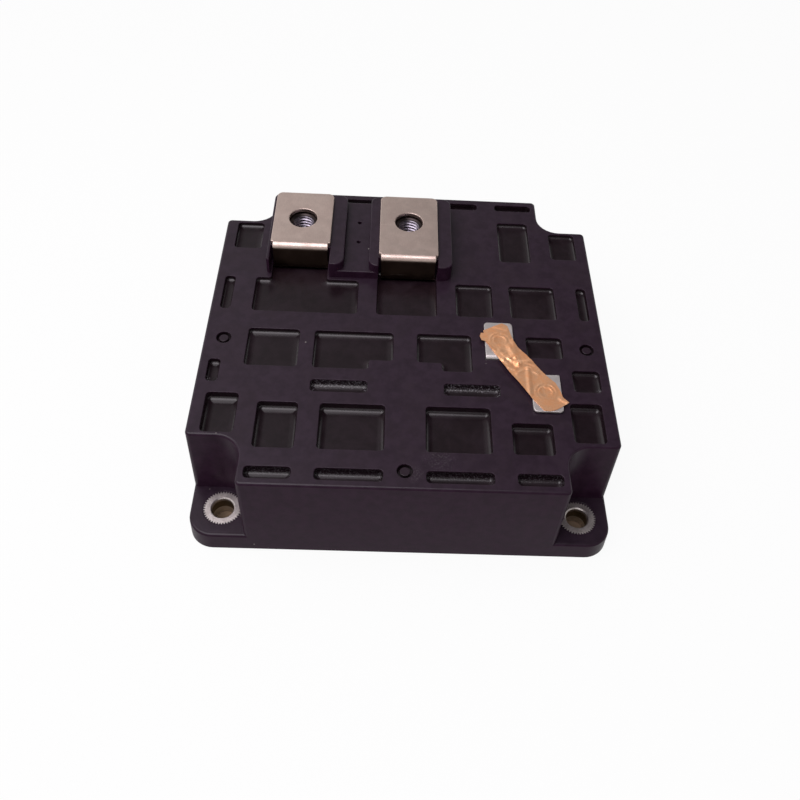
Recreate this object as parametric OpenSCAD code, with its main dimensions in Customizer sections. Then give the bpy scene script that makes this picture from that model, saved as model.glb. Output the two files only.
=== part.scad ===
// Power switch module: one moulded case on a copper base plate, two bent main
// terminals over captive nuts, two small control terminals shorted by a foil
// strip, four mounting bushings, and the circuit that the case holds inside.

/* [Case] */
// Width and depth of the case at its foot
case_w = 130; // [128:1:150]
// Height of the case top above the resting plane
case_h = 35.2; // [33:0.1:42]
// Lean of each outer wall from foot to top
draft = 1; // [0:0.1:2]
// Thickness of the moulded side walls
wall = 3.5; // [2.5:0.1:4.5]
// Thickness of the lid, ribs included
lid_t = 7; // [6:0.1:8]
// Side of the square notch at each corner
notch = 17.5; // [15:0.1:19]
// Radius in the inner corner of each notch
notch_r = 7.5; // [4:0.5:9]
// Height of the ears in the notches
ear_h = 7.5; // [6.5:0.1:10]
// Outer corner radius of the ears
ear_r = 8.5; // [6:0.5:10]

/* [Base plate] */
// Thickness of the base plate
plate_t = 3; // [2:0.1:4]
// Wall of the case skirt round the base plate
skirt_t = 2; // [1.5:0.1:3]
// Gap between skirt and base plate
plate_gap = 0.2; // [0.1:0.05:0.5]
// Height of the case rim above the resting plane
rim_h = 0.3; // [0.1:0.1:0.6]

/* [Mounting] */
// Distance of the mounting holes from the walls of their notch
hole_clear = 7.5; // [7:0.1:9]
// Diameter of the mounting holes
hole_d = 6.8; // [5.5:0.1:7.5]
// Outer diameter of the bushings, over the knurl
bushing_d = 12; // [10:0.1:13]
// Depth of the knurl
knurl = 0.35; // [0.2:0.05:0.6]
// Number of knurl teeth
teeth = 52; // [24:4:72]
// Radial play between bushing and ear
bushing_gap = 0.05; // [0.02:0.01:0.2]

/* [Pits] */
// Depth of the pits in the rear rows
rear_pit = 1.9; // [1.2:0.1:3]
// Depth of the pits in the middle row
mid_pit = 2.1; // [1.2:0.1:3]
// Depth of the pits in the front rows and at the sides
front_pit = 3.1; // [2:0.1:3.5]
// Depth of the two slots behind the front rows
bar_pit = 2.8; // [2:0.1:3.5]
// Plan corner radius of the pits
pit_corner = 2; // [1:0.1:2.5]
// Width of the slots along the rim
slot_w = 4; // [3:0.1:5]
// Rib left between the rim slots and the outer edge
slot_rib = 2.5; // [1.5:0.1:4]
// Diameter of the round gate dimples
dimple_d = 4.8; // [3:0.1:6]
// Depth of the ring round each dimple's boss
dimple_t = 0.8; // [0.4:0.1:1.5]

/* [Towers] */
// Depth of the terminal towers from front to rear
tower_d = 36.2; // [35:0.1:38]
// Rib left between the towers and the rear slots
tower_rib = 1.5; // [0.5:0.1:3]
// Height of the towers above the case top
tower_h = 6.1; // [5:0.1:9]
// Height of the saddle between the towers above the case top
saddle_h = 2.9; // [1:0.1:4]
// Width of tower beside the outer edge of the collector terminal
tower_edge = 1.1; // [0.8:0.1:2]
// Width of tower beside the right edge of each terminal
tower_side = 4.9; // [3:0.1:6]
// Width of tower beside the left edge of the emitter terminal
tower_left = 3.4; // [2:0.1:5]
// Corner radius of the towers
tower_r = 3; // [1:0.1:3.2]
// Diameter of the two vents in the saddle
vent_d = 1.4; // [0.8:0.1:2]

/* [Main terminals] */
// Thickness of the main terminals
main_t = 1.5; // [1:0.1:2]
// Width of the main terminals
main_w = 20; // [18:0.1:21]
// Distance between the two main terminals
main_pitch = 36.7; // [36:0.1:38]
// Recess of the emitter leg behind the towers' front face
emitter_back = 2.4; // [1.6:0.1:3]
// Recess of the collector leg behind the towers' front face
collector_back = 6.4; // [5.6:0.1:7]
// Distance of the terminals' rear edge from the towers' rear face
main_back = 1.8; // [1:0.1:3]
// Distance of the screw centre from the rear edge
screw_back = 13.6; // [12:0.1:15]
// Diameter of the holes in the main terminals
main_hole_d = 9.7; // [9:0.1:10.5]
// Inner radius of the bend
bend_in = 0.5; // [0.3:0.1:1.5]
// Relief on each side of the leg
relief = 0.7; // [0.3:0.1:1.2]
// Plan radius of the rear corners
main_corner = 2; // [1:0.1:3]
// Gap below a terminal plate and round its leg
seat_gap = 0.2; // [0.1:0.05:0.3]

/* [Main nuts] */
// Width of the nuts across their flats
nut_af = 13; // [12.8:0.1:13.2]
// Height of the nuts
nut_h = 6.5; // [6:0.1:7]
// Minor diameter of the nut thread
nut_bore = 6.8; // [6.6:0.05:7]
// Play of a nut in its pocket
nut_gap = 0.1; // [0.05:0.05:0.2]
// Lid left under the room for the screw's end
screw_floor = 2; // [1:0.1:3]

/* [Control terminals] */
// Gap between the case top and the control terminals
aux_lift = 0.4; // [0.3:0.1:1.5]
// Thickness of the control terminals
aux_t = 0.8; // [0.6:0.1:1]
// Width of the control terminals
aux_w = 9.2; // [8:0.1:10]
// Length of the control terminals
aux_len = 15; // [14:0.1:16]
// Distance of the screw centre from the folded end
aux_screw = 7.4; // [7:0.1:8]
// Diameter of the holes in the control terminals
aux_hole_d = 4.5; // [4.2:0.1:5]
// Distance between the two control terminals, sideways
aux_pitch = 13.4; // [13:0.1:16]
// Folded end of the gate terminal, in front of the centre line
gate_y = 14.8; // [14:0.1:16]
// Distance of the sense terminal's middle from the notch wall, sideways
sense_in = 4.3; // [3:0.1:5.5]
// Folded end of the sense terminal, in front of the centre line
sense_y = 20.8; // [19:0.1:22]
// Width of the control nuts across their flats
aux_nut_af = 7; // [6.8:0.1:7.2]
// Height of the control nuts
aux_nut_h = 3; // [2.6:0.1:3.2]
// Minor diameter of the control nuts' thread
aux_bore = 3.3; // [3.2:0.05:3.5]
// Thickness of the shorting foil
foil_t = 0.2; // [0.1:0.05:0.3]

/* [Circuit] */
// Width of one ceramic tile
tile_w = 48; // [46:0.5:50]
// Gap between the tiles and the walls of the notches
tile_margin = 2; // [1:0.1:3]
// Gap from the centre lines to the tiles
tile_gap = 2; // [1:0.5:3]
// Thickness of the ceramic
ceramic_t = 0.7; // [0.4:0.1:1]
// Thickness of the copper on each face of a tile
copper_t = 0.4; // [0.2:0.1:0.5]
// Thickness of the chips
chip_t = 0.3; // [0.2:0.1:0.4]
// Side of a switch chip
igbt_w = 10; // [9:0.5:12]
// Side of a diode chip
diode_w = 8; // [7:0.5:9]
// Distance between the chips of a tile
chip_pitch = 24; // [23:0.5:26]
// Diameter of the bond wires
wire_d = 0.5; // [0.3:0.1:0.6]
// Height of the emitter bus bar above the base plate
emitter_rise = 9; // [8.5:0.5:10]
// Least clearance of the emitter bus bar over the bond wires
bus_gap = 0.5; // [0.3:0.1:0.9]
// Height of the collector bus bar above the base plate
collector_rise = 17; // [15:0.5:18]
// Depth of the silicone gel
gel_t = 14; // [13:0.5:15]

/* [Hidden] */
CORNERS = [[-1, -1], [1, -1], [-1, 1], [1, 1]];
CORNER_NAMES = ["front_left", "front_right", "rear_left", "rear_right"];
$fn = 48;
over = 1;                                      // overrun of cuts past a face

// Case
case_x = case_w / 2;                           // outer face at the foot
top_x = case_x - draft;                        // outer face at the top
notch_x = case_x - notch;                      // notch walls
cavity_x = top_x - wall;                       // inner face of the side walls
cavity_notch = notch_x - wall;                 // inner face of the notch walls
ceiling = case_h - lid_t;                      // underside of the lid
plate_x = case_x - skirt_t - plate_gap;        // edge of the base plate
plate_seat = plate_t + 0.1;                    // ledge of the case over the base plate
bore_x = notch_x + hole_clear;                 // mounting holes, from the centre lines

// Rim slots and the side pits in line with them
slot_y1 = top_x - slot_rib;
slot_y0 = slot_y1 - slot_w;
side_x0 = slot_y0 + 0.5;
dimple_in = 3;                                 // side dimples, from the outer wall of the side pits
dimple_ring = 0.8;                             // width of the ring

// Towers and main terminals
tower_y1 = slot_y0 - tower_rib;
tower_y0 = tower_y1 - tower_d;
tower_top = case_h + tower_h;
main_top = tower_top + seat_gap + main_t;
main_y1 = tower_y1 - main_back;
screw_y = main_y1 - screw_back;
collector_x = -notch_x + tower_edge + main_w / 2;
emitter_x = collector_x + main_pitch;
collector_y = tower_y0 + collector_back;
emitter_y = tower_y0 + emitter_back;
leg_w = main_w - 2 * relief;
screw_room_d = main_hole_d - 0.7;              // bore under a nut, for the screw's end
vent_x = (collector_x + emitter_x) / 2 + 1.1;
vent_t = 2;                                    // depth of a vent
vents_at = [-5.8, 4.3];                        // vents, from the screws' line

// Control terminals
aux_top = case_h + aux_lift + aux_t;
aux_play = 0.2;                                // between a control terminal and its nut or slot
aux_corner = 1.3;
aux_bend_in = 0.3;
aux_floor = 1;                                 // lid left under the room for the screw's end
sense_x = notch_x - sense_in;
gate_x = sense_x - aux_pitch;
gate_at = [gate_x, -gate_y];
sense_at = [sense_x, -sense_y];
gate_screw = gate_at + [0, aux_screw];
sense_screw = sense_at - [0, aux_screw];
pin_w = 2.5;                                   // tail of a control terminal
pin_aside = 2.5;                               // of the gate tail, from the middle of its terminal
gate_pin_x = gate_x + pin_aside;
sense_pin_x = sense_x;
gate_drop = 4.2;                               // from the ceiling to where each tail turns
sense_drop = 6.2;
gate_turn = ceiling - gate_drop;
sense_turn = ceiling - sense_drop;

// Tiles, each described in the corner where x and y are positive
tile_d = cavity_notch - tile_margin - tile_gap;
tile_x = tile_gap + tile_w / 2;
tile_y = tile_gap + tile_d / 2;
back_z = plate_t;
ceramic_z = back_z + copper_t;
circuit_z = ceramic_z + ceramic_t;
chip_z = circuit_z + copper_t;
wire_z = chip_z + chip_t;
copper_rim = 1;                                // bare ceramic round the copper
copper_gap = 0.8;                              // bare ceramic between two strips
gate_strip_w = 1.6;
emitter_strip_w = 5.8;
chip_edge = 1;                                 // copper in front of the switch chips
diode_edge = 2;                                // copper behind the diode chips
landing = 2;                                   // from a wire's end to the edge of what it lands on
gate_landing = 1;
gate_strip = [tile_gap + copper_rim, tile_gap + copper_rim + gate_strip_w];
emitter_strip = [gate_strip[1] + copper_gap, gate_strip[1] + copper_gap + emitter_strip_w];
island = [emitter_strip[1] + copper_gap, tile_gap + tile_d - copper_rim];
gate_mid = (gate_strip[0] + gate_strip[1]) / 2;
emitter_mid = (emitter_strip[0] + emitter_strip[1]) / 2;
igbt_y = island[0] + chip_edge + igbt_w / 2;
diode_y = island[1] - diode_edge - diode_w / 2;
igbt_wires = [emitter_strip[1] - landing, igbt_y - igbt_w / 2 + landing];
diode_wires = [igbt_y + igbt_w / 2 - landing, diode_y - diode_w / 2 + landing];
gate_wire = [gate_mid, igbt_y - igbt_w / 2 + gate_landing];
wires_top = wire_z + (max(gate_wire[1] - gate_wire[0], diode_wires[1] - diode_wires[0]) + wire_d) / 2;
jumper_gap = 0.5;                              // between the gate tail and a jumper
jumper_x = gate_pin_x + (pin_w + wire_d) / 2 + jumper_gap;
jumper_reach = 3;                              // of the sideways jumpers, past the tiles' edges
jumper_y = tile_gap + jumper_reach;

// Bus bars and their feet
emitter_bus = max(plate_t + emitter_rise, wires_top + bus_gap);
collector_bus = plate_t + collector_rise;
foot_w = 8;
emitter_bus_x = tile_x + foot_w / 2;           // half width of the emitter bus bar
emitter_bus_y = 9;                             // half depth of the emitter bus bar
emitter_foot_y = (emitter_strip[0] + emitter_bus_y) / 2;
collector_foot_y = diode_y - main_t;           // between the diodes
collector_band = 8;                            // width of the collector bus bar
foot_inset = 2;                                // from a foot to the outer edge of its bus bar
collector_bus_y = [collector_foot_y + foot_inset - collector_band, collector_foot_y + foot_inset];
gel_top = plate_t + gel_t;
gel_gap = 0.2;                                 // round what stands in the gel

// Pits of the lid, from the front: front wall, rear wall, depth, and [left, right] of each pit. Typed
// places are in steps of the lid's grid, of which 47.5 reach from the centre lines to the notch walls.
grid = notch_x / 47.5;
function both(a, b) = [[-b, -a], [a, b]];
function mirrored(spans) = [for (s = spans) [-s[1], -s[0]]];
rim_pits = concat(both(6.2, 26), both(32.6, 46.2)) * grid;
side_edges = [side_x0, slot_y1];
front_ears = [[notch_x + 3.2 * grid, slot_y1 - 0.9 * grid]];
rear_ears = [[notch_x + 3.9 * grid, slot_y1 - 1.1 * grid]];
emitter_pit = [[emitter_x - main_w / 2, emitter_x + main_w / 2]];
PIT_ROWS = [
    [-slot_y1, -slot_y0, front_pit, rim_pits],
    [-50.8 * grid, -34 * grid, front_pit, concat(both(6.1, 26), [[-44.8, -32.5]]) * grid],
    [-50.8 * grid, -39.1 * grid, front_pit, [[32, 44.5]] * grid],
    [1.6 * grid - notch_x, -31 * grid, front_pit, concat(front_ears, mirrored(front_ears))],
    [-29.4 * grid, -24.7 * grid, bar_pit, both(11.9, 29.5) * grid],
    [-26.3 * grid, -17.7 * grid, mid_pit, [[52.8 * grid, slot_y1]]],
    [-26.8 * grid, -17.7 * grid, mid_pit, mirrored([side_edges])],
    [-19.8 * grid, -4.2 * grid, mid_pit, [[-50.7, -34.2], [-29.5, -11.8], [11.5, 21]] * grid],
    [-16.2 * grid, -4.2 * grid, mid_pit, [[-16, -4.1], [3.5, 16]] * grid],
    [-12.9 * grid, -4 * grid, mid_pit, [[38.9, 50.7]] * grid],
    [4.2 * grid, 19.5 * grid, rear_pit, [[-51, -16.2], [16.8, 29], [35, 50.3]] * grid],
    [4.2 * grid, 19.5 * grid, rear_pit, concat([side_edges], mirrored([side_edges]))],
    [4.2 * grid, emitter_y, rear_pit, emitter_pit],
    [31.5 * grid, 52.1 * grid, rear_pit, [[32.9, 44]] * grid],
    [33.7 * grid, notch_x - 0.8 * grid, rear_pit, concat(rear_ears, mirrored(rear_ears))],
    [slot_y0, slot_y1, front_pit, rim_pits]];
DIMPLES = [[dimple_in - slot_y1, -8.7 * grid], [slot_y1 - dimple_in, -8.7 * grid],
           [0, -0.3 * grid - slot_y0]];

// Outline of the shorting foil: steps from the gate screw, then the sense screw, then the gate screw
FOIL_GATE = [[-5.8, 2.4], [-5.8, 3.4], [-4.5, 4.8], [0, 7.5], [1.7, 8], [2.9, 6.5], [4.4, 4.4],
             [5.1, 0.9], [6.8, -2.5]];
FOIL_SENSE = [[1.1, 7.2], [4.5, 0.7], [7, -3.6], [2.6, -6.1], [0, -7.1], [-1.4, -5.9], [-4.4, -1.7]];
FOIL_BACK = [[1.4, -11.2], [-0.7, -8.3], [-2, -4.6], [-4.4, -0.2]];

// ---- helpers ----

module box(lo, hi) {
    translate(lo) cube(hi - lo);
}

// Flat outline with round corners
module rounded(x0, x1, y0, y1, r) {
    translate([x0 + r, y0]) square([x1 - x0 - 2 * r, y1 - y0]);
    translate([x0, y0 + r]) square([x1 - x0, y1 - y0 - 2 * r]);
    for (x = [x0 + r, x1 - r], y = [y0 + r, y1 - r]) translate([x, y]) circle(r);
}

// A box with play round it
module loose_box(lo, hi, play) {
    box(lo - [play, play, play], hi + [play, play, play]);
}

// Section of a pit: upright walls that curve into the floor
module pit_section(a, b, depth, fillet) {
    translate([a, fillet - depth]) square([b - a, depth - fillet + over]);
    translate([a + fillet, -depth]) square([b - a - 2 * fillet, depth]);
    for (u = [a + fillet, b - fillet]) translate([u, fillet - depth]) circle(fillet);
}

// Largest radius that leaves a flat between two fillets
function half_of(width) = width / 2 - 0.1;

// A row of pits that share their front and rear walls; spans holds [left, right] of each
module pit_row(spans, y0, y1, depth) {
    fillet = min(depth - 0.2, half_of(y1 - y0));
    translate([0, 0, case_h])
        intersection() {
            translate([0, 0, -depth]) linear_extrude(depth + over)
                for (s = spans)
                    rounded(s[0], s[1], y0, y1, min(pit_corner, half_of(y1 - y0), half_of(s[1] - s[0])));
            rotate([90, 0, 90]) linear_extrude(case_w, center = true)
                pit_section(y0, y1, depth, fillet);
            rotate([90, 0, 0]) linear_extrude(case_w, center = true)
                for (s = spans) pit_section(s[0], s[1], depth, min(fillet, half_of(s[1] - s[0])));
        }
}

module hexagon(af) {
    circle(d = af / cos(30), $fn = 6);
}

// ---- case ----

module case_block() {
    intersection() {
        rotate([90, 0, 0]) linear_extrude(case_w, center = true)
            polygon([[-case_x, 0], [case_x, 0], [top_x, case_h], [-top_x, case_h]]);
        rotate([90, 0, 90]) linear_extrude(case_w, center = true)
            polygon([[-case_x, 0], [case_x, 0], [top_x, case_h], [-top_x, case_h]]);
        linear_extrude(case_h) rounded(-case_x, case_x, -case_x, case_x, ear_r);
    }
}

module notches() {
    far = case_x + 2 * notch_r;
    for (c = CORNERS) translate([0, 0, ear_h]) linear_extrude(case_h)
        scale([c[0], c[1]]) rounded(notch_x, far, notch_x, far, notch_r);
}

module cavity_outline(inset) {
    a = cavity_x - inset;
    b = cavity_notch - inset;
    square([2 * a, 2 * b], center = true);
    square([2 * b, 2 * a], center = true);
}

// A ring-shaped groove round a flat boss
module dimple(at) {
    translate([at[0], at[1], case_h - dimple_t]) difference() {
        cylinder(h = dimple_t + over, d = dimple_d);
        translate([0, 0, -over]) cylinder(h = over + dimple_t / 2, d = dimple_d - 2 * dimple_ring);
    }
}

module lid_pits() {
    for (row = PIT_ROWS) pit_row(row[3], row[0], row[1], row[2]);
    for (at = DIMPLES) dimple(at);
}

// Two towers and the saddle between them, on top of the lid
module towers() {
    left = [-notch_x, collector_x + main_w / 2 + tower_side];
    right = [emitter_x - main_w / 2 - tower_left, emitter_x + main_w / 2 + tower_side];
    translate([0, 0, ceiling]) linear_extrude(tower_top - ceiling)
        for (span = [left, right]) rounded(span[0], span[1], tower_y0, tower_y1, tower_r);
    box([left[1] - tower_r, tower_y0, ceiling], [right[0] + tower_r, tower_y1, case_h + saddle_h]);
}

// Everything that a main terminal and its nut need in the tower
module tower_cuts(x, y) {
    rear = y + main_t + seat_gap;
    pocket_z = tower_top - nut_h - nut_gap;
    box([x - main_w / 2, tower_y0 - over, case_h - rear_pit], [x + main_w / 2, rear, main_top]);
    box([x - leg_w / 2 - seat_gap, y - seat_gap, ceiling - over], [x + leg_w / 2 + seat_gap, rear, case_h]);
    translate([x, screw_y, pocket_z]) linear_extrude(nut_h + over) hexagon(nut_af + 2 * nut_gap);
    translate([x, screw_y, ceiling + screw_floor])
        cylinder(h = pocket_z - ceiling - screw_floor + over, d = screw_room_d);
}

// Everything that a control terminal and its nut need in the lid
module aux_cuts(at, turn) {
    half = aux_w / 2 + aux_play;
    pocket_z = aux_top - aux_t - aux_play - aux_nut_h - nut_gap;
    translate([at[0], at[1], 0]) scale([1, turn, 1]) {
        box([-half, -aux_play, ceiling - over], [half, aux_t + aux_play, case_h + over]);
        translate([0, aux_screw, pocket_z])
            linear_extrude(aux_nut_h + over) hexagon(aux_nut_af + 2 * nut_gap);
        translate([0, aux_screw, ceiling + aux_floor])
            cylinder(h = pocket_z - ceiling - aux_floor + over, d = aux_hole_d);
    }
}

module case() {
    seat_x = plate_x + plate_gap;
    color([0.2, 0.16, 0.19]) difference() {
        union() {
            difference() {
                case_block();
                notches();
                lid_pits();
            }
            towers();
        }
        translate([0, 0, -over]) linear_extrude(over + rim_h) square(case_w + over, center = true);
        linear_extrude(plate_seat) rounded(-seat_x, seat_x, -seat_x, seat_x, ear_r - skirt_t);
        linear_extrude(ceiling) cavity_outline(0);
        for (c = CORNERS) translate([c[0] * bore_x, c[1] * bore_x, 0])
            cylinder(h = ear_h + over, d = bushing_d + 2 * bushing_gap);
        tower_cuts(collector_x, collector_y);
        tower_cuts(emitter_x, emitter_y);
        aux_cuts(gate_at, 1);
        aux_cuts(sense_at, -1);
        for (y = vents_at) translate([vent_x, screw_y + y, case_h + saddle_h - vent_t])
            cylinder(h = vent_t + over, d = vent_d);
    }
}

// ---- metal outside ----

module base_plate() {
    color([0.72, 0.7, 0.67]) difference() {
        linear_extrude(plate_t) rounded(-plate_x, plate_x, -plate_x, plate_x, ear_r - skirt_t - plate_gap);
        for (c = CORNERS) translate([c[0] * bore_x, c[1] * bore_x, -over])
            cylinder(h = plate_t + 2 * over, d = hole_d);
    }
}

module bushing(c) {
    color([0.7, 0.68, 0.66]) translate([c[0] * bore_x, c[1] * bore_x, plate_t])
        difference() {
            linear_extrude(ear_h - plate_t)
                polygon([for (i = [0:2 * teeth - 1])
                    let (r = bushing_d / 2 - (i % 2) * knurl, turn = i * 180 / teeth)
                    [r * cos(turn), r * sin(turn)]]);
            translate([0, 0, -over]) cylinder(h = ear_h, d = hole_d);
        }
}

// Side view of a plate that bends down into a leg, in y and z; inner is the radius inside the bend
module bent_section(y, y1, top, t, inner, foot) {
    r = inner + t;
    difference() {
        union() {
            translate([y + r, top - r]) circle(r);
            translate([y, foot]) square([t, top - r - foot]);
            translate([y + r, top - t]) square([y1 - y - r, t]);
        }
        translate([y + r, top - r]) circle(inner);
        translate([y + t, top - 2 * r]) square([inner, r]);
        translate([y + r, top - 2 * r]) square([r, 2 * r - t]);
    }
}

module main_terminal(x, y, foot) {
    bend_y = y + bend_in + main_t;
    translate([x, 0, 0]) difference() {
        intersection() {
            rotate([90, 0, 90]) linear_extrude(main_w, center = true)
                bent_section(y, main_y1, main_top, main_t, bend_in, foot);
            translate([0, 0, foot - over]) linear_extrude(main_top) {
                translate([-leg_w / 2, y - over]) square([leg_w, bend_y - y + 2 * over]);
                rounded(-main_w / 2, main_w / 2, bend_y, main_y1, main_corner);
                translate([-main_w / 2, bend_y]) square([main_w, 2 * main_corner]);
            }
        }
        translate([0, screw_y, main_top - 2 * main_t]) cylinder(h = 3 * main_t, d = main_hole_d);
    }
}

// Feet that stand on the tiles under a bus bar
module feet(y, bar) {
    top = bar + main_t / 2;
    for (sx = [-1, 1], sy = [-1, 1]) translate([sx * tile_x, sy * y, (chip_z + top) / 2])
        cube([foot_w, main_t, top - chip_z], center = true);
}

module collector_terminal() {
    left = collector_x - leg_w / 2;
    inner = collector_bus_y[0];
    outer = collector_bus_y[1];
    right = tile_x + foot_w / 2;
    z = [collector_bus, collector_bus + main_t];
    color([0.6, 0.54, 0.5]) {
        main_terminal(collector_x, collector_y, collector_bus);
        box([left, -outer, z[0]], [left + collector_band, outer, z[1]]);
        for (y = [-outer, inner]) box([left, y, z[0]], [right, y + collector_band, z[1]]);
        box([left, min(inner, collector_y), z[0]], [left + leg_w, max(outer, collector_y + main_t), z[1]]);
        feet(collector_foot_y, collector_bus);
    }
}

module emitter_terminal() {
    z = [emitter_bus, emitter_bus + main_t];
    color([0.6, 0.54, 0.5]) {
        main_terminal(emitter_x, emitter_y, emitter_bus);
        box([-emitter_bus_x, -emitter_bus_y, z[0]], [emitter_bus_x, emitter_bus_y, z[1]]);
        box([emitter_x - leg_w / 2, 0, z[0]], [emitter_x + leg_w / 2, emitter_y + main_t, z[1]]);
        feet(emitter_foot_y, emitter_bus);
    }
}

module main_nut(x) {
    color([0.66, 0.68, 0.74]) translate([x, screw_y, tower_top - nut_h]) difference() {
        linear_extrude(nut_h) hexagon(nut_af);
        translate([0, 0, -over]) cylinder(h = nut_h + 2 * over, d = nut_bore);
    }
}

// A control terminal with its folded end at the given place; turn is 1 when it runs rearwards. Its tail
// turns at turn_z towards the strip at strip_y, and stands on it.
module aux_terminal(at, turn, pin_x, strip_y, turn_z) {
    pin = [pin_x - at[0] - pin_w / 2, pin_x - at[0] + pin_w / 2];
    near = (strip_y - at[1]) * turn - aux_t / 2;
    color([0.73, 0.69, 0.69]) translate([at[0], at[1], 0]) scale([1, turn, 1]) {
        difference() {
            intersection() {
                rotate([90, 0, 90]) linear_extrude(aux_w, center = true)
                    bent_section(0, aux_len, aux_top, aux_t, aux_bend_in, turn_z);
                linear_extrude(aux_top + over) {
                    rounded(-aux_w / 2, aux_w / 2, 0, aux_len, aux_corner);
                    translate([-aux_w / 2, 0]) square([aux_w, aux_len / 2]);
                }
            }
            translate([0, aux_screw, aux_top - 2 * aux_t]) cylinder(h = 3 * aux_t, d = aux_hole_d);
        }
        box([pin[0], min(0, near), turn_z], [pin[1], max(aux_t, near + aux_t), turn_z + aux_t]);
        box([pin[0], near, chip_z], [pin[1], near + aux_t, turn_z + aux_t]);
    }
}

module gate_terminal() {
    aux_terminal(gate_at, 1, gate_pin_x, -gate_mid, gate_turn);
}

module sense_terminal() {
    aux_terminal(sense_at, -1, sense_pin_x, -emitter_mid, sense_turn);
}

module aux_nut(screw) {
    color([0.66, 0.68, 0.74])
        translate([screw[0], screw[1], aux_top - aux_t - aux_play - aux_nut_h]) difference() {
            linear_extrude(aux_nut_h) hexagon(aux_nut_af);
            translate([0, 0, -over]) cylinder(h = aux_nut_h + 2 * over, d = aux_bore);
        }
}

// Strip of adhesive foil from one control terminal to the other
module shorting_foil() {
    outline = concat([for (p = FOIL_GATE) gate_screw + p], [for (p = FOIL_SENSE) sense_screw + p],
                     [for (p = FOIL_BACK) gate_screw + p]);
    color([0.78, 0.55, 0.38]) translate([0, 0, aux_top]) linear_extrude(foil_t) polygon(outline);
}

// ---- circuit inside ----

module on_tile(c) {
    translate([c[0] * tile_x, c[1] * tile_y, 0]) children();
}

module back_copper(c) {
    color([0.8, 0.5, 0.35]) on_tile(c) translate([0, 0, back_z]) linear_extrude(copper_t)
        square([tile_w - 2 * copper_rim, tile_d - 2 * copper_rim], center = true);
}

module ceramic_tile(c) {
    color([0.9, 0.9, 0.86]) on_tile(c) translate([0, 0, ceramic_z]) linear_extrude(ceramic_t)
        square([tile_w, tile_d], center = true);
}

module circuit_copper(c) {
    x0 = tile_gap + copper_rim;
    x1 = tile_gap + tile_w - copper_rim;
    color([0.8, 0.5, 0.35]) scale([c[0], c[1], 1])
        for (strip = [gate_strip, emitter_strip, island])
            box([x0, strip[0], circuit_z], [x1, strip[1], chip_z]);
}

// side is -1 for the chip nearer the centre line and 1 for the outer one
module chip(c, side, w, y) {
    x = tile_x + side * chip_pitch / 2;
    color([0.35, 0.36, 0.4]) translate([c[0] * x, c[1] * y, chip_z + chip_t / 2])
        cube([w, w, chip_t], center = true);
}

// A wire loop between two places in y, with a foot down to the copper where drop is given
module wire(x, ends, drop) {
    r = (ends[1] - ends[0]) / 2;
    translate([x, (ends[0] + ends[1]) / 2, wire_z]) {
        rotate([90, 0, 90]) rotate_extrude(angle = 180) translate([r, 0]) circle(d = wire_d, $fn = 16);
        if (drop > 0) translate([0, -r, -drop]) cylinder(h = drop, d = wire_d, $fn = 16);
    }
}

module bond_wires(c) {
    color([0.85, 0.85, 0.87]) scale([c[0], c[1], 1])
        for (side = [-1, 1]) translate([tile_x + side * chip_pitch / 2, 0, 0]) {
            for (i = [-1.5, -0.5, 0.5, 1.5]) wire(i * igbt_w / 5, igbt_wires, chip_t);
            for (i = [-1, 0, 1]) wire(i * diode_w / 4, diode_wires, 0);
            wire(0, gate_wire, chip_t);
        }
}

// Loops that join the gate strips of the four tiles
module gate_jumpers() {
    color([0.85, 0.85, 0.87]) translate([0, 0, -chip_t]) {
        for (x = [-jumper_x, jumper_x]) wire(x, [-gate_mid, gate_mid], 0);
        for (y = [-gate_mid, gate_mid])
            translate([0, y, 0]) rotate([0, 0, 90]) wire(0, [-jumper_y, jumper_y], 0);
    }
}

// Gel over the circuit, with a pocket over the tiles, and clear of all metal that passes through it
module silicone_gel() {
    pocket = [tile_gap + tile_w, tile_gap + tile_d, wires_top];
    strip_x = leg_w / 2;
    leg_y = emitter_y + main_t;
    bus_z = emitter_bus + main_t;
    high = gel_top + over;
    color([0.75, 0.78, 0.8, 0.5]) difference() {
        translate([0, 0, plate_t]) linear_extrude(gel_t) cavity_outline(gel_gap);
        loose_box([-pocket[0], -pocket[1], 0], pocket, gel_gap);
        loose_box([-emitter_bus_x, -emitter_bus_y, emitter_bus], [emitter_bus_x, emitter_bus_y, bus_z],
                  gel_gap);
        loose_box([emitter_x - strip_x, 0, emitter_bus], [emitter_x + strip_x, leg_y, bus_z], gel_gap);
        loose_box([emitter_x - strip_x, emitter_y, emitter_bus], [emitter_x + strip_x, leg_y, high], gel_gap);
        for (sx = [-1, 1], sy = [-1, 1]) scale([sx, sy, 1]) {
            gel_slot(tile_x, collector_foot_y, foot_w, main_t, high);
            gel_slot(tile_x, emitter_foot_y, foot_w, main_t, emitter_bus);
        }
        gel_slot(gate_pin_x, -gate_mid, pin_w, aux_t, high);
        gel_slot(sense_pin_x, -emitter_mid, pin_w, aux_t, high);
    }
}

// Upright slot in the gel round a foot or a tail
module gel_slot(x, y, w, t, top) {
    loose_box([x - w / 2, y - t / 2, 0], [x + w / 2, y + t / 2, top], gel_gap);
}

// ---- what each node draws ----

case();
base_plate();
collector_terminal();
emitter_terminal();
main_nut(collector_x);  // collector_nut
main_nut(emitter_x);  // emitter_nut
gate_terminal();
sense_terminal();
aux_nut(gate_screw);  // gate_nut
aux_nut(sense_screw);  // sense_nut
shorting_foil();
gate_jumpers();
silicone_gel();
for (i = [0:3]) {
    bushing(CORNERS[i]);
    back_copper(CORNERS[i]);
    ceramic_tile(CORNERS[i]);
    circuit_copper(CORNERS[i]);
    bond_wires(CORNERS[i]);
    chip(CORNERS[i], 1, igbt_w, igbt_y);
    chip(CORNERS[i], -1, igbt_w, igbt_y);
    chip(CORNERS[i], 1, diode_w, diode_y);
    chip(CORNERS[i], -1, diode_w, diode_y);
}
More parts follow.
